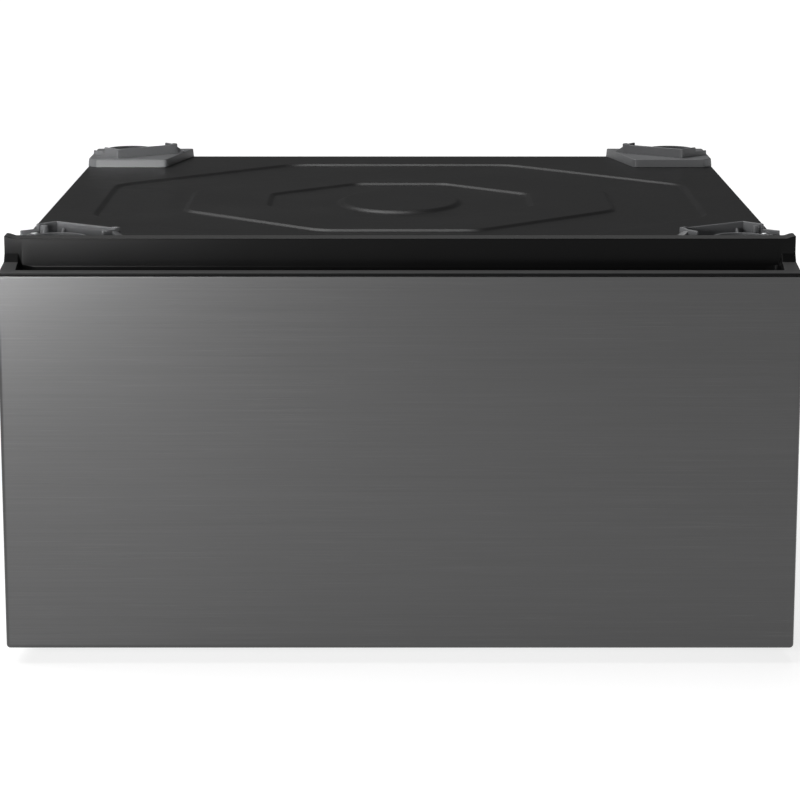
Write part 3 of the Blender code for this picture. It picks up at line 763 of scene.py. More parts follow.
def bead(u, v, middle, half_long, half_wide, edge):
    """A long pressed bead: 1 within a round-ended bar, falling smoothly to 0 over an edge."""
    outside = np.hypot(np.maximum(np.abs(u - middle[0]) - half_long + half_wide, 0), v - middle[1])
    return smooth_step((half_wide - outside) / edge + 0.5)


SIDE_SHEET = 1.2 * MM
FIELD_BORDER = np.array([0.045, 0.036])
FIELD_LIFT = 1.1 * MM
REAR_BEADS = (-0.09, 0.0, 0.09)
REAR_SCREWS = [(x, z) for x in (-0.328, 0.328) for z in (0.036, 0.125, 0.214, 0.303)]


def make_sides(settings):
    """Each side panel is a tray with a broad field pressed out of its face. The rear panel is a sheet
    with three long beads pressed outwards, and eight screws."""
    paint = finishes(settings)["paint"]
    for name, side in SIDES:
        low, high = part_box(f"{name}_side_panel")
        outer = high.x if side > 0 else low.x
        depth = -side * (high.x - low.x)
        corner_low, corner_high = (low.y, low.z), (high.y, high.z)
        loops = tray(corner_low, corner_high, 3 * MM, 2 * MM, SIDE_SHEET, outer, depth, "yzx")
        slope = np.linspace(0, 1, 7)
        inset = np.concatenate([[20 * MM], 5 * MM * (1 - slope), [-0.4 * MM]])
        lift = FIELD_LIFT * np.concatenate([[1.0], smooth_step(1 - slope), [0.0]])[:, None]
        field = outline(corner_low + FIELD_BORDER, corner_high - FIELD_BORDER, 24 * MM, inset, 6)
        over = lifted(field, outer + side * lift, "yzx")
        under = lifted(field[::-1], outer + side * (lift[::-1] - SIDE_SHEET), "yzx")
        shell = Shell().rings(np.concatenate([over, loops[1:-1], under]))
        piece(shell, f"pressed_{name}_side", paint, CABINET, [f"{name}_side_panel"])
    low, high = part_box("rear_panel")
    middle = (low.z + high.z) / 2

    def height(x, z):
        pressed = sum(bead(x, z, (0.0, middle + step), 0.29, 9 * MM, 7 * MM) for step in REAR_BEADS)
        return high.y + 2.4 * MM * pressed

    loops = slab((low.x, low.z), (high.x, high.z), (150, 170), SIDE_SHEET, height, "xzy")
    shell = Shell().rings(loops, "strip", "strip")
    piece(shell, "pressed_rear_panel", paint, CABINET, ["rear_panel"])
    shell = Shell()
    for x, z in REAR_SCREWS:
        pan_head(shell, (x, high.y + 0.05 * MM, z), "xzy")
    piece(shell, "rear_panel_screws", finishes(settings)["plated"], CABINET)


HEAD_RADIUS = 4.3 * MM
HEAD_HEIGHT = 2.7 * MM
SHANK_RADIUS = 2.1 * MM


def pan_head(shell, seat, axes, shank=0.0):
    """A pan head screw that points along the last of axes. Its rings start in the cross recess, whose
    outline at each angle is the nearer of an arm's end and an arm's side, climb its wall, run over
    the dome and down the rim, and narrow to the shank. seat is the middle of the face under the
    head."""
    angle, ray = circle(40)
    from_arm = np.abs((angle + math.pi / 4) % (math.pi / 2) - math.pi / 4)
    arm = np.minimum(2.15 * MM / np.cos(from_arm), 0.55 * MM / np.maximum(np.sin(from_arm), 1e-3))
    full = np.ones(len(angle))
    rows = [(arm * 0.55, 0.9 * MM), (arm * 0.94, 1.3 * MM), (arm, 2.50 * MM)]
    rows += [
        (full * HEAD_RADIUS * share, 0.9 * MM + 1.8 * MM * math.sqrt(1 - share**4))
        for share in np.linspace(0.64, 1.0, 6)[:-1]
    ]
    rows += [
        (full * HEAD_RADIUS, 0.9 * MM), (full * HEAD_RADIUS, 0.15 * MM),
        (full * (HEAD_RADIUS - 0.15 * MM), 0.0),
    ]  # fmt: skip
    if shank:
        rows += [
            (full * SHANK_RADIUS, 0.0), (full * SHANK_RADIUS, 1.2 * MM - shank),
            (full * 0.3 * MM, -shank),
        ]  # fmt: skip
    radius = np.array([row[0] for row in rows])
    height = np.array([[row[1]] for row in rows])
    shell.rings(lifted(radius[..., None] * ray, height, axes) + np.asarray(seat, float))


def seated_screw(name, axes, finish, body):
    """A pan head screw at its own CAD screw."""
    low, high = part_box(name)
    seat = centre_of(low, high)
    along = "xyz".index(axes[2])
    seat[along] = high[along] - HEAD_HEIGHT
    shell = Shell()
    pan_head(shell, seat, axes, seat[along] - low[along])
    piece(shell, f"pan_head_{name}", finish, body, [name])


def make_screws(settings):
    """Every screw of the frame as a pan head with a cross recess."""
    plated = finishes(settings)["plated"]
    for corner, _end, _side in CORNERS:
        for number in (1, 2):
            seated_screw(f"holder_screw_{corner}_{number}", "xyz", plated, CABINET)
    for side_name, _side in SIDES:
        for number in (1, 2):
            seated_screw(f"front_screw_{side_name}_{number}", "xzy", plated, DRAWER)


DRAWER_SHEET = 1.2 * MM
WALL_STEP = 8 * MM
WALL_FOOT = 12 * MM
TAB_LOW, TAB_HIGH = 0.070, 0.270
BOTTOM_BEADS = (-0.21, -0.07, 0.07, 0.21)


def make_drawer(settings):
    """The drawer's box: folded side and rear walls with rounded bends, and a bottom with four shallow
    beads from front to rear."""
    powder = finishes(settings)["powder"]
    sheet, half = DRAWER_SHEET, DRAWER_SHEET / 2
    for name, side in SIDES:
        low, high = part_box(f"drawer_{name}_wall")
        outer, flange = (high.x, low.x) if side > 0 else (low.x, high.x)
        web = outer - side * (WALL_STEP + half)
        path = [
            (web - side * (WALL_FOOT - half), low.z + half), (web, low.z + half), (web, high.z - half),
            (outer - side * half, high.z - half), (outer - side * half, high.z - 5 * MM),
        ]  # fmt: skip
        section = folded_sheet(path, [0, 1.8 * MM, 1.8 * MM, 1.2 * MM, 0], sheet)
        shell = Shell().sweep(section, (low.y, high.y), "xzy")
        tab = outline(
            (min(flange, web), TAB_LOW), (max(flange, web), TAB_HIGH), 5 * MM,
            np.array([0.2 * MM, 0.0, 0.0, 0.2 * MM]), 6,
        )  # fmt: skip
        tab_y = low.y + np.array([0.0, 0.2 * MM, sheet - 0.2 * MM, sheet])[:, None]
        shell.rings(lifted(tab, tab_y, "xzy"))
        piece(shell, f"folded_{name}_wall", powder, DRAWER, [f"drawer_{name}_wall"])
    low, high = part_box("drawer_rear_wall")
    path = [
        (high.y - half, low.z), (high.y - half, high.z - half),
        (low.y + half, high.z - half), (low.y + half, high.z - 4 * MM),
    ]  # fmt: skip
    section = folded_sheet(path, [0, 1.8 * MM, 1.2 * MM, 0], sheet)
    shell = Shell().sweep(section, (low.x, high.x), "yzx")
    piece(shell, "folded_rear_wall", powder, DRAWER, ["drawer_rear_wall"])
    low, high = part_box("drawer_bottom")
    middle = (low.y + high.y) / 2

    def height(x, y):
        pressed = sum(bead(y, x, (middle, place), 0.25, 7 * MM, 6 * MM) for place in BOTTOM_BEADS)
        return high.z + 1.5 * MM * pressed

    loops = slab((low.x, low.y), (high.x, high.y), (230, 60), sheet, height, "xyz")
    shell = Shell().rings(loops, "strip", "strip")
    piece(shell, "beaded_drawer_bottom", powder, DRAWER, ["drawer_bottom"])


SLIDE_Z = 0.150
# Name, body, sheet, bend, finish and whether it opens towards the drawer (1) or the cabinet (-1)
SLIDE_MEMBERS = (
    ("slide_outer", CABINET, 1.2 * MM, 2.4 * MM, "plated", 1),
    ("outer_cage", "outer_cages", 0.8 * MM, 1.4 * MM, "nylon", 1),
    ("slide_middle", "middle_rails", 1.2 * MM, 2.2 * MM, "plated", 1),
    ("inner_cage", "inner_cages", 0.8 * MM, 1.2 * MM, "nylon", 1),
    ("slide_inner", DRAWER, 1.2 * MM, 2.0 * MM, "plated", -1),
    ("slide_bracket", CABINET, 1.2 * MM, 2.0 * MM, "zinc", -1),
)
# A row's height from the slide's middle line, a ball's radius and the row's distance from the bracket
BALLS = {"outer_cage": (19.45 * MM, 2.0 * MM, 6.75 * MM), "inner_cage": (13.6 * MM, 2.38 * MM, 8.5 * MM)}


def channel_section(low, high, side, thickness, radius):
    """The rounded section of a channel in its box. Its web is on the given side and it opens away."""
    half = thickness / 2
    web = high.x - half if side > 0 else low.x + half
    lip = low.x if side > 0 else high.x
    path = [(lip, low.z + half), (web, low.z + half), (web, high.z - half), (lip, high.z - half)]
    return folded_sheet(path, [0, radius, radius, 0], thickness)


def ball_rows(low, high, x, rise, size):
    """Two rows of 15 turned balls along a cage, over and under the slide's middle line."""
    shell = Shell()
    polar = np.linspace(0, math.pi, 7)
    profile = np.stack([size * np.sin(polar), size * np.cos(polar)], 1)
    for y in np.linspace(low.y + 8 * MM, high.y - 8 * MM, 15):
        for way in (-1, 1):
            shell.turn(profile, (x, y, SLIDE_Z + way * rise), 9)
    return shell


def make_slides(settings):
    """Slide members and brackets as folded channels with rounded bends, and two rows of balls in
    each cage."""
    finish = finishes(settings)
    for side_name, side in SIDES:
        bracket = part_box(f"slide_bracket_{side_name}")
        wall = bracket[1 if side < 0 else 0].x
        for name, body, thickness, radius, look, facing in SLIDE_MEMBERS:
            node = f"{name}_{side_name}"
            low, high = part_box(node)
            section = channel_section(low, high, side * facing, thickness, radius)
            shell = Shell().sweep(section, (low.y, high.y), "xzy")
            piece(shell, f"rolled_{node}", finish[look], body, [node])
            if name in BALLS:
                rise, size, inward = BALLS[name]
                shell = ball_rows(low, high, wall - side * inward, rise, size)
                piece(shell, f"balls_{node}", finish["balls"], body)


RAIL_SHEETS = {
    "front_bottom_rail": 2.0 * MM,
    "rear_bottom_rail": 2.0 * MM,
    "front_top_rail": 1.2 * MM,
    "deck_brace_front": 1.2 * MM,
    "deck_brace_rear": 1.2 * MM,
}


def make_rails(settings):
    """The cross rails and deck braces as folded channels with rounded bends."""
    for name, sheet in RAIL_SHEETS.items():
        low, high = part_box(name)
        front, rear, crest, bend = low.y + sheet / 2, high.y - sheet / 2, high.z - sheet / 2, 1.2 * sheet
        path = [(front, low.z), (front, crest), (rear, crest), (rear, low.z)]
        section = folded_sheet(path, [0, bend, bend, 0], sheet)
        shell = Shell().sweep(section, (low.x, high.x), "yzx")
        piece(shell, f"folded_{name}", finishes(settings)["zinc"], CABINET, [name])


PAD_PROFILE = np.array(
    [
        (0.0, 4.5), (6.2, 4.5), (6.2, 7.1), (6.5, 7.45), (8.2, 7.5), (8.9, 7.3), (16.6, 5.2),
        (18.2, 4.7), (18.85, 4.1), (19.0, 3.4), (19.0, 1.2), (18.7, 0.4), (18.0, 0.0),
        (16.6, 0.0), (16.2, 0.6), (14.8, 0.6), (14.4, 0.0), (12.6, 0.0), (12.2, 0.6), (10.8, 0.6),
        (10.4, 0.0), (8.6, 0.0), (8.2, 0.6), (6.8, 0.6), (6.4, 0.0), (0.0, 0.0),
    ]
) * MM  # fmt: skip
THREAD_PITCH = 1.5 * MM
THREAD_DEPTH = 0.42 * MM
THREAD_FOOT = 16.0 * MM
STEM_RADIUS = 5.0 * MM
STEM_FLATS = 14.7 * MM
KEY_LOW, KEY_HIGH = 9.5 * MM, 15.5 * MM
NUT_BORE = 5.3 * MM
NUT_FLATS = 17.0 * MM


def hexagon(angle, flats, widest):
    """One ring of radii: a hexagon by the distance across its flats, its corners cut to a circle."""
    radius = flats / 2 / np.cos((angle % (math.pi / 3)) - math.pi / 6)
    return np.minimum(radius, widest)[None]


def stem_shell(low, high, middle):
    """A threaded stem: rings whose radius follows a screw thread, a rounded wave of the turn plus
    the height over the pitch, with a chamfered hexagon near its foot."""
    angle, ray = circle(36)
    thread_top = high.z - 0.9 * MM
    height = np.linspace(THREAD_FOOT, thread_top, 150)
    wave = np.abs(((height[:, None] / THREAD_PITCH - angle / (2 * math.pi)) % 1.0) * 2 - 1)
    fade = smooth_step((thread_top - height) / (1.2 * MM))[:, None]
    grooved = STEM_RADIUS - THREAD_DEPTH * (1 - smooth_step(wave * 1.3)) * fade
    plain = np.full((1, len(angle)), STEM_RADIUS)
    flat, chamfered = hexagon(angle, STEM_FLATS, 8.2 * MM), hexagon(angle, STEM_FLATS, 7.5 * MM)
    radius = np.concatenate(
        [
            plain - 0.5 * MM, plain, plain - 0.3 * MM, chamfered, flat, flat, chamfered,
            plain - 0.2 * MM, grooved, plain - 0.9 * MM,
        ]
    )  # fmt: skip
    foot = [low.z, low.z + 0.5 * MM, KEY_LOW, KEY_LOW, KEY_LOW + 0.4 * MM]
    foot += [KEY_HIGH - 0.4 * MM, KEY_HIGH, KEY_HIGH]
    level = np.concatenate([foot, height, [high.z]])[:, None]
    return Shell().rings(lifted(middle[:2] + radius[..., None] * ray, level))


def nut_shell(low, high, middle):
    """A nut: rings of a chamfered hexagon round its bore."""
    angle, ray = circle(36)
    bore = np.full((1, len(angle)), NUT_BORE)
    wide, slim = hexagon(angle, NUT_FLATS, 9.5 * MM), hexagon(angle, NUT_FLATS, 8.7 * MM)
    radius = np.concatenate([bore, slim, wide, wide, slim, bore])
    level = np.array([low.z, low.z, low.z + 0.5 * MM, high.z - 0.5 * MM, high.z, high.z])[:, None]
    return Shell().rings(lifted(middle[:2] + radius[..., None] * ray, level), "open", "loop")


def make_feet(settings):
    """Levelling feet, each a turned pad with a ribbed underside, a threaded stem and a nut, and two
    turned bumpers behind the drawer front."""
    finish = finishes(settings)
    for corner, _end, _side in CORNERS:
        pad, stem, nut = (f"foot_{part}_{corner}" for part in ("pad", "stem", "nut"))
        middle = centre_of(*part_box(pad))
        shell = Shell().turn(PAD_PROFILE, (middle[0], middle[1], 0.0), 40)
        piece(shell, f"moulded_{pad}", finish["rubber"], pad, [pad])
        shell = stem_shell(*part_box(stem), middle)
        piece(shell, f"threaded_{stem}", finish["plated"], stem, [stem])
        shell = nut_shell(*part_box(nut), middle)
        piece(shell, f"hexagon_{nut}", finish["plated"], CABINET, [nut])
    for side_name, _side in SIDES:
        node = f"bumper_{side_name}"
        low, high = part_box(node)
        reach = (high.y - low.y) / MM
        profile = np.array(
            [
                (0.0, 0.0), (3.2, 0.0), (4.6, 0.35), (5.6, 1.2), (6.5, reach - 1.0),
                (7.0, reach - 0.3), (7.0, reach), (0.0, reach),
            ]
        ) * MM  # fmt: skip
        middle = ((low.x + high.x) / 2, low.y, (low.z + high.z) / 2)
        shell = Shell().turn(profile, middle, 32, "xzy")
        piece(shell, f"moulded_{node}", finish["rubber"], CABINET, [node])


def place_on_holder(end, side, plan, lift):
    """Plan points measured in from the deck's side edge and its end edge, put over one corner."""
    plan = np.asarray(plan, float)
    x = side * (DECK_HIGH.x - plan[..., 0])
    y = DECK_LOW.y + plan[..., 1] if end > 0 else DECK_HIGH.y - plan[..., 1]
    z = DECK_Z + np.broadcast_to(lift, x.shape)
    return np.stack([x, y, z], -1)


# Plan points of a holder, measured in from the deck's side edge and its end edge
CUP = np.array((0.0410, 0.0345))
PLATE = np.array(
    [(0.0008, 0.0008), (0.1100, 0.0008), (0.0870, 0.1050), (0.0100, 0.1050), (0.0008, 0.0950)]
)
FENCE = np.array(
    [(0.0040, 0.0625), (0.0175, 0.0740), (0.0330, 0.0910), (0.0930, 0.0460), (0.0798, 0.0284)]
)

# Ends, width, and height at the first end and at the last
HOLDER_RIBS = (
    (((0.0215, 0.0745), (0.0268, 0.0688)), 6.0 * MM, 17.4 * MM, 17.4 * MM),
    (((0.0880, 0.0395), (0.1005, 0.0330)), 8.0 * MM, 18.2 * MM, 9.2 * MM),
    (((0.0655, 0.0300), (0.0790, 0.0275)), 2.2 * MM, 11.5 * MM, 13.0 * MM),
    (((0.0410, 0.0590), (0.0400, 0.0800)), 2.2 * MM, 11.5 * MM, 14.0 * MM),
)
HOLLOW_PIN = np.array((0.0140, 0.0540))
# Turned profiles: distance from the middle and height over the deck
CUP_PROFILE = np.array(
    [
        (1.5, 5.5), (5.0, 5.5), (5.3, 5.1), (6.6, 5.1), (6.9, 5.5), (10.4, 5.5), (10.7, 5.1),
        (12.0, 5.1), (12.3, 5.5), (15.8, 5.5), (16.1, 5.1), (17.4, 5.1), (17.7, 5.5), (20.0, 5.5),
        (20.9, 5.8), (21.5, 6.4), (21.8, 7.4), (22.1, 12.2), (22.35, 12.75), (22.9, 13.0),
        (24.1, 13.0), (24.7, 12.75), (24.95, 12.2), (25.15, 9.8), (25.5, 9.05), (26.2, 8.8),
    ]
) * MM  # fmt: skip
PIN_PROFILE = np.array(
    [
        (1.5, 7.0), (1.5, 11.6), (1.8, 12.0), (3.0, 12.0), (3.35, 11.6), (3.5, 9.6), (3.9, 9.0),
        (4.6, 8.7), (4.6, 7.0),
    ]
) * MM  # fmt: skip
FENCE_WIDTH = 3.0 * MM
FENCE_START = 14.0 * MM
FENCE_STEP = 4.5 * MM
NUB_RISE = 1.0 * MM
WALL_ROOT = 6.0 * MM
WALL_CROWN = 0.8 * MM
WALL_DRAFT = 0.25 * MM
WALL_POINT_GAP = 1.6 * MM
PLATE_TOP = 8.8 * MM
PLATE_DRAFT = 0.7 * MM
PLATE_ROUND = 1.1 * MM


def wall_loops(path, width, top):
    """An upright wall along a plan path: at each point of the path a closed section, wider at its
    foot by the draft and rounded over its top, stands across the path. The ends are round: there the
    half width follows a quarter circle."""
    across = left_of(np.gradient(path, axis=0))
    half = width / 2
    turn = np.linspace(0, math.pi / 2, 4)
    side = np.concatenate([[half + WALL_DRAFT], half - WALL_CROWN * (1 - np.cos(turn))])
    rise = np.concatenate([[0.0], -WALL_CROWN * (1 - np.sin(turn))])
    offset = np.concatenate([side, -side[::-1]])
    crest = np.concatenate([rise, rise[::-1]])
    is_foot = np.zeros(len(offset), bool)
    is_foot[[0, -1]] = True
    top = np.broadcast_to(np.asarray(top, float), (len(path),))
    height = np.where(is_foot[None], WALL_ROOT, top[:, None] + crest[None])
    run = run_along(path)
    end = np.minimum(run, run[-1] - run)
    narrow = np.sqrt(np.clip(1 - (1 - np.clip(end / half, 0, 1)) ** 2, 0.02, 1))
    plan = path[:, None] + across[:, None] * (offset[None, :, None] * narrow[:, None, None])
    return plan, height


def fine_path(path, radii, kept=()):
    """A rounded open path with points no further apart than a length, close together at its ends and
    with some at kept distances from its start, and each point's distance."""
    points = rounded(path, radii, 6, closed=False)
    run = run_along(points)
    ends = np.array([0.0, 0.1, 0.3, 0.6, 1.0, 1.5]) * MM
    inside = np.linspace(1.5 * MM, run[-1] - 1.5 * MM, int(run[-1] / WALL_POINT_GAP) + 2)
    at = np.unique(np.concatenate([ends, inside, kept, run[-1] - ends]))
    return np.stack([np.interp(at, run, points[:, 0]), np.interp(at, run, points[:, 1])], 1), at


def holder_shell(end, side):
    """A foot holder. Its plate and cup are one stack of rings round the cup's middle: the floor with
    shallow grooves, the cup's wall, the plate, its rounded edge and its drafted side. The fence
    follows its own path, low where it meets the deck's edge, then full height, with a raised nub. A
    block, a sloping gusset and two low ribs are shorter walls, and beside the cup stands a hollow
    pin."""
    plan = rounded(PLATE, [3 * MM, 3 * MM, 4 * MM, 3 * MM, 3 * MM], 5)
    plan = subdivided(plan[None], 3.2 * MM)[0]
    inward = left_of(np.roll(plan, -1, axis=0) - np.roll(plan, 1, axis=0))
    way = plan - CUP
    way /= np.linalg.norm(way, axis=1)[:, None]
    rings = CUP + way[None] * CUP_PROFILE[:, :1, None]
    lift = np.broadcast_to(CUP_PROFILE[:, 1:], rings.shape[:2])
    bend = np.linspace(0, math.pi / 2, 5)
    inset = np.concatenate([[2.6 * MM], PLATE_DRAFT + PLATE_ROUND * (1 - np.sin(bend)), [0.0]])
    level = np.concatenate([[PLATE_TOP], PLATE_TOP - PLATE_ROUND * (1 - np.cos(bend)), [0.3 * MM]])
    edges = plan[None] + inward[None] * inset[:, None, None]
    rings = np.concatenate([rings, edges])
    lift = np.concatenate([lift, np.broadcast_to(level[:, None], edges.shape[:2])])
    shell = Shell().rings(place_on_holder(end, side, rings, lift), "point", "flat")
    corner = np.linalg.norm(FENCE[1] - FENCE[0])
    path, run = fine_path(FENCE, 0.9 * MM, corner + np.array([0.0, 0.15, 0.3]) * MM)
    nub = run[np.argmin(np.linalg.norm(path - FENCE[3], axis=1))]
    height = FENCE_START + FENCE_STEP * smooth_step((run - corner) / (0.3 * MM))
    height = height + NUB_RISE * smooth_step(2.2 - np.abs(run - nub) / (4.0 * MM))
    plan, level = wall_loops(path, FENCE_WIDTH, height)
    shell.rings(place_on_holder(end, side, plan, level))
    for ends, width, first, last in HOLDER_RIBS:
        path, run = fine_path(np.array(ends), 0.5 * MM)
        height = first + (last - first) * run / run[-1]
        plan, level = wall_loops(path, width, height)
        shell.rings(place_on_holder(end, side, plan, level))
    rings = HOLLOW_PIN + PIN_PROFILE[:, :1, None] * circle(28)[1]
    lift = np.broadcast_to(PIN_PROFILE[:, 1:], rings.shape[:2])
    shell.rings(place_on_holder(end, side, rings, lift), "open", "loop")
    return shell


def make_holders(settings):
    """One holder for each corner of the deck."""
    for corner, end, side in CORNERS:
        node = f"foot_holder_{corner}"
        piece(holder_shell(end, side), f"moulded_{node}", finishes(settings)["grey"], CABINET, [node])


# Name, place, aim, width, height, spread in degrees and power
SOFTBOXES = (
    ("front_softbox", (-0.66, -1.95, 0.53), (-0.25, -0.4, 0.32), 0.45, 0.30, 160.0, 14.5),
    ("side_softbox", (-0.80, -1.35, 0.41), (-0.28, 0.40, 0.38), 0.30, 0.10, 24.0, 0.32),
)
FLOOR_REACH = 60.0


def make_stage(settings):
    """A pale floor, a pale surrounding, soft lights and the camera."""
    floor = bpy.data.meshes.new("studio_floor")
    corners = [(x * FLOOR_REACH, y * FLOOR_REACH, 0.0) for x, y in ((-1, -1), (1, -1), (1, 1), (-1, 1))]
    floor.from_pydata(corners, [], [(0, 1, 2, 3)])
    floor.materials.append(studio_floor(settings))
    placed("studio_floor", floor)
    world = bpy.data.worlds.new("soft_studio")
    world.use_nodes = True
    world.node_tree.nodes["Background"].inputs["Color"].default_value = (1.0, 1.0, 1.0, 1.0)
    world.node_tree.nodes["Background"].inputs["Strength"].default_value = settings.room_light
    bpy.context.scene.world = world
    for name, place, aim, width, height, spread, power in SOFTBOXES:
        light = bpy.data.lights.new(name, "AREA")
        light.shape = "RECTANGLE"
        light.size, light.size_y, light.energy = width, height, power
        light.spread = math.radians(spread)
        lamp = placed(name, light)
        lamp.location = place
        away = np.array(place) - np.array(aim)
        flat = math.hypot(away[0], away[1])
        lamp.rotation_euler = Euler((math.atan2(flat, away[2]), 0.0, math.atan2(away[0], -away[1])))
    sky = bpy.data.lights.new("overhead_light", "SUN")
    sky.energy, sky.angle = settings.overhead_light, math.radians(60.0)
    placed("overhead_light", sky).rotation_euler = Euler((math.radians(-14.0), math.radians(-22.0), 0.0))
    camera = bpy.data.cameras.new("studio_camera")
    camera.lens = settings.lens
    camera.sensor_width = 36.0
    camera.dof.use_dof = False
    viewer = placed("studio_camera", camera)
    viewer.location = (0.0, FRONT_Y - settings.camera_distance, settings.camera_height)
    viewer.rotation_euler = Euler((math.radians(90.0) - settings.camera_dip, 0.0, 0.0))
    bpy.context.scene.camera = viewer
    bpy.context.scene.view_settings.view_transform = "Standard"


FRAME_FINISHES = {
    "black_paint": "paint",
    "black_plastic": "black",
    "grey_plastic": "grey",
    "dark_stainless": "stainless",
    "zinc_steel": "zinc",
    "drawer_steel": "powder",
    "cage_plastic": "nylon",
    "black_rubber": "rubber",
}


def finish_frame(settings):
    """Puts the detailed finishes on the CAD pieces, by their slots' names."""
    made = finishes(settings)
    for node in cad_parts.values():
        if node.type != "MESH":
            continue
        for index, slot in enumerate(node.data.materials):
            name = slot.name.split(".")[0] if slot else ""
            if name in FRAME_FINISHES:
                node.data.materials[index] = made[FRAME_FINISHES[name]]


class PedestalSettings(bpy.types.PropertyGroup):
    """Sizes and tones that a user would change."""

    press_depth: bpy.props.FloatProperty(
        name="Pressing depth",
        description="How deep the octagons are pressed into the deck",
        default=0.0024,
        unit="LENGTH",
        subtype="DISTANCE",
    )
    panel_bend: bpy.props.FloatProperty(
        name="Front bend",
        description="Radius of the bend round the stainless front",
        default=0.0036,
        unit="LENGTH",
        subtype="DISTANCE",
    )
    panel_tone: bpy.props.FloatProperty(
        name="Stainless tone", description="How bright the stainless front is", default=0.082
    )
    paint_tone: bpy.props.FloatProperty(
        name="Paint tone", description="How bright the black paint is", default=0.011
    )
    cap_tone: bpy.props.FloatProperty(
        name="Cap tone", description="How bright the black plastic is", default=0.005
    )
    holder_tone: bpy.props.FloatProperty(
        name="Holder tone", description="How bright the grey plastic is", default=0.145
    )
    floor_tone: bpy.props.FloatProperty(
        name="Floor tone", description="How bright the studio floor is", default=0.45
    )
    room_light: bpy.props.FloatProperty(
        name="Room light", description="Strength of the even light all round", default=0.07
    )
    overhead_light: bpy.props.FloatProperty(
        name="Overhead light", description="Strength of the soft light from above", default=2.3
    )
    lens: bpy.props.FloatProperty(
        name="Lens", description="Focal length of the camera, in millimetres", default=127.57
    )
    camera_distance: bpy.props.FloatProperty(
        name="Camera distance",
        description="How far the camera stands in front of the drawer",
        default=2.3741,
        unit="LENGTH",
        subtype="DISTANCE",
    )
    camera_height: bpy.props.FloatProperty(
        name="Camera height",
        description="Height of the camera over the floor",
        default=0.7232,
        unit="LENGTH",
        subtype="DISTANCE",
    )
    camera_dip: bpy.props.FloatProperty(
        name="Camera dip",
        description="How far the camera looks down",
        default=math.radians(11.629),
        subtype="ANGLE",
    )


class PEDESTAL_OT_stage(bpy.types.Operator):
    """Make the floor, the lights and the camera"""

    bl_idname = "pedestal.stage"
    bl_label = "Stage"

    def execute(self, context):
        make_stage(context.scene.pedestal)
        return {"FINISHED"}


class PEDESTAL_OT_deck(bpy.types.Operator):
    """Make the pressed deck"""

    bl_idname = "pedestal.deck"
    bl_label = "Deck"

    def execute(self, context):
        make_deck(context.scene.pedestal)
        return {"FINISHED"}


class PEDESTAL_OT_cap(bpy.types.Operator):
    """Make the handle cap over the drawer's front"""

    bl_idname = "pedestal.cap"
    bl_label = "Handle cap"

    def execute(self, context):
        make_cap(context.scene.pedestal)
        return {"FINISHED"}


class PEDESTAL_OT_front(bpy.types.Operator):
    """Make the drawer's stainless front and the moulded box behind it"""

    bl_idname = "pedestal.front"
    bl_label = "Drawer front"

    def execute(self, context):
        make_front(context.scene.pedestal)
        return {"FINISHED"}


class PEDESTAL_OT_holders(bpy.types.Operator):
    """Make the four foot holders on the deck"""

    bl_idname = "pedestal.holders"
    bl_label = "Foot holders"

    def execute(self, context):
        make_holders(context.scene.pedestal)
        return {"FINISHED"}


class PEDESTAL_OT_sides(bpy.types.Operator):
    """Make the side panels and the rear panel"""

    bl_idname = "pedestal.sides"
    bl_label = "Side and rear panels"

    def execute(self, context):
        make_sides(context.scene.pedestal)
        return {"FINISHED"}


class PEDESTAL_OT_screws(bpy.types.Operator):
    """Make the pan head screws"""

    bl_idname = "pedestal.screws"
    bl_label = "Screws"

    def execute(self, context):
        make_screws(context.scene.pedestal)
        return {"FINISHED"}


class PEDESTAL_OT_drawer(bpy.types.Operator):
    """Make the walls and the bottom of the drawer"""

    bl_idname = "pedestal.drawer"
    bl_label = "Drawer box"

    def execute(self, context):
        make_drawer(context.scene.pedestal)
        return {"FINISHED"}


class PEDESTAL_OT_slides(bpy.types.Operator):
    """Make the slides, their brackets and their balls"""

    bl_idname = "pedestal.slides"
    bl_label = "Slides"

    def execute(self, context):
        make_slides(context.scene.pedestal)
        return {"FINISHED"}


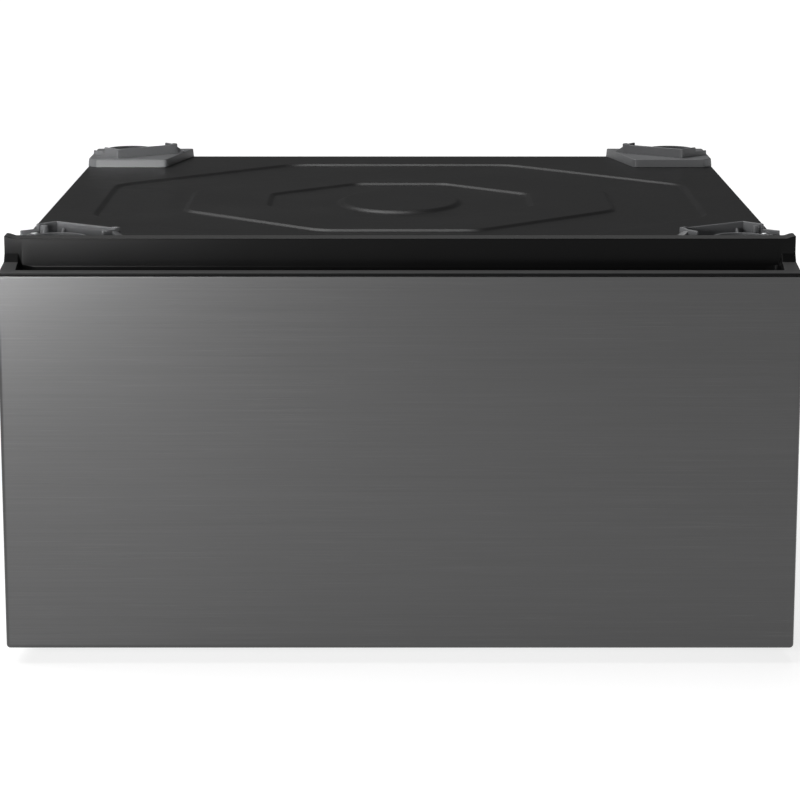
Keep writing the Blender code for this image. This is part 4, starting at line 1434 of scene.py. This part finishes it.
class PEDESTAL_OT_rails(bpy.types.Operator):
    """Make the cross rails and the deck braces"""

    bl_idname = "pedestal.rails"
    bl_label = "Rails"

    def execute(self, context):
        make_rails(context.scene.pedestal)
        return {"FINISHED"}


class PEDESTAL_OT_feet(bpy.types.Operator):
    """Make the levelling feet, their nuts and the bumpers"""

    bl_idname = "pedestal.feet"
    bl_label = "Levelling feet"

    def execute(self, context):
        make_feet(context.scene.pedestal)
        return {"FINISHED"}


class PEDESTAL_OT_plain(bpy.types.Operator):
    """Give the frame's own pieces their finishes"""

    bl_idname = "pedestal.plain"
    bl_label = "Frame finishes"

    def execute(self, context):
        finish_frame(context.scene.pedestal)
        return {"FINISHED"}


OPERATORS = (
    PEDESTAL_OT_stage,
    PEDESTAL_OT_deck,
    PEDESTAL_OT_cap,
    PEDESTAL_OT_front,
    PEDESTAL_OT_holders,
    PEDESTAL_OT_sides,
    PEDESTAL_OT_screws,
    PEDESTAL_OT_drawer,
    PEDESTAL_OT_slides,
    PEDESTAL_OT_rails,
    PEDESTAL_OT_feet,
    PEDESTAL_OT_plain,
)


class PEDESTAL_PT_panel(bpy.types.Panel):
    """Lists the makers of the pedestal's pieces"""

    bl_label = "Pedestal"
    bl_idname = "PEDESTAL_PT_panel"
    bl_space_type = "VIEW_3D"
    bl_region_type = "UI"
    bl_category = "Pedestal"

    def draw(self, context):
        for maker in OPERATORS:
            self.layout.operator(maker.bl_idname)
        for name in PedestalSettings.__annotations__:
            self.layout.prop(context.scene.pedestal, name)


CLASSES = (PedestalSettings, *OPERATORS, PEDESTAL_PT_panel)


def register():
    for kind in CLASSES:
        bpy.utils.register_class(kind)
    bpy.types.Scene.pedestal = bpy.props.PointerProperty(type=PedestalSettings)


def unregister():
    del bpy.types.Scene.pedestal
    for kind in reversed(CLASSES):
        bpy.utils.unregister_class(kind)


def main():
    register()
    for maker in OPERATORS:
        group, call = maker.bl_idname.split(".")
        getattr(getattr(bpy.ops, group), call)()


if __name__ == "__main__":
    main()
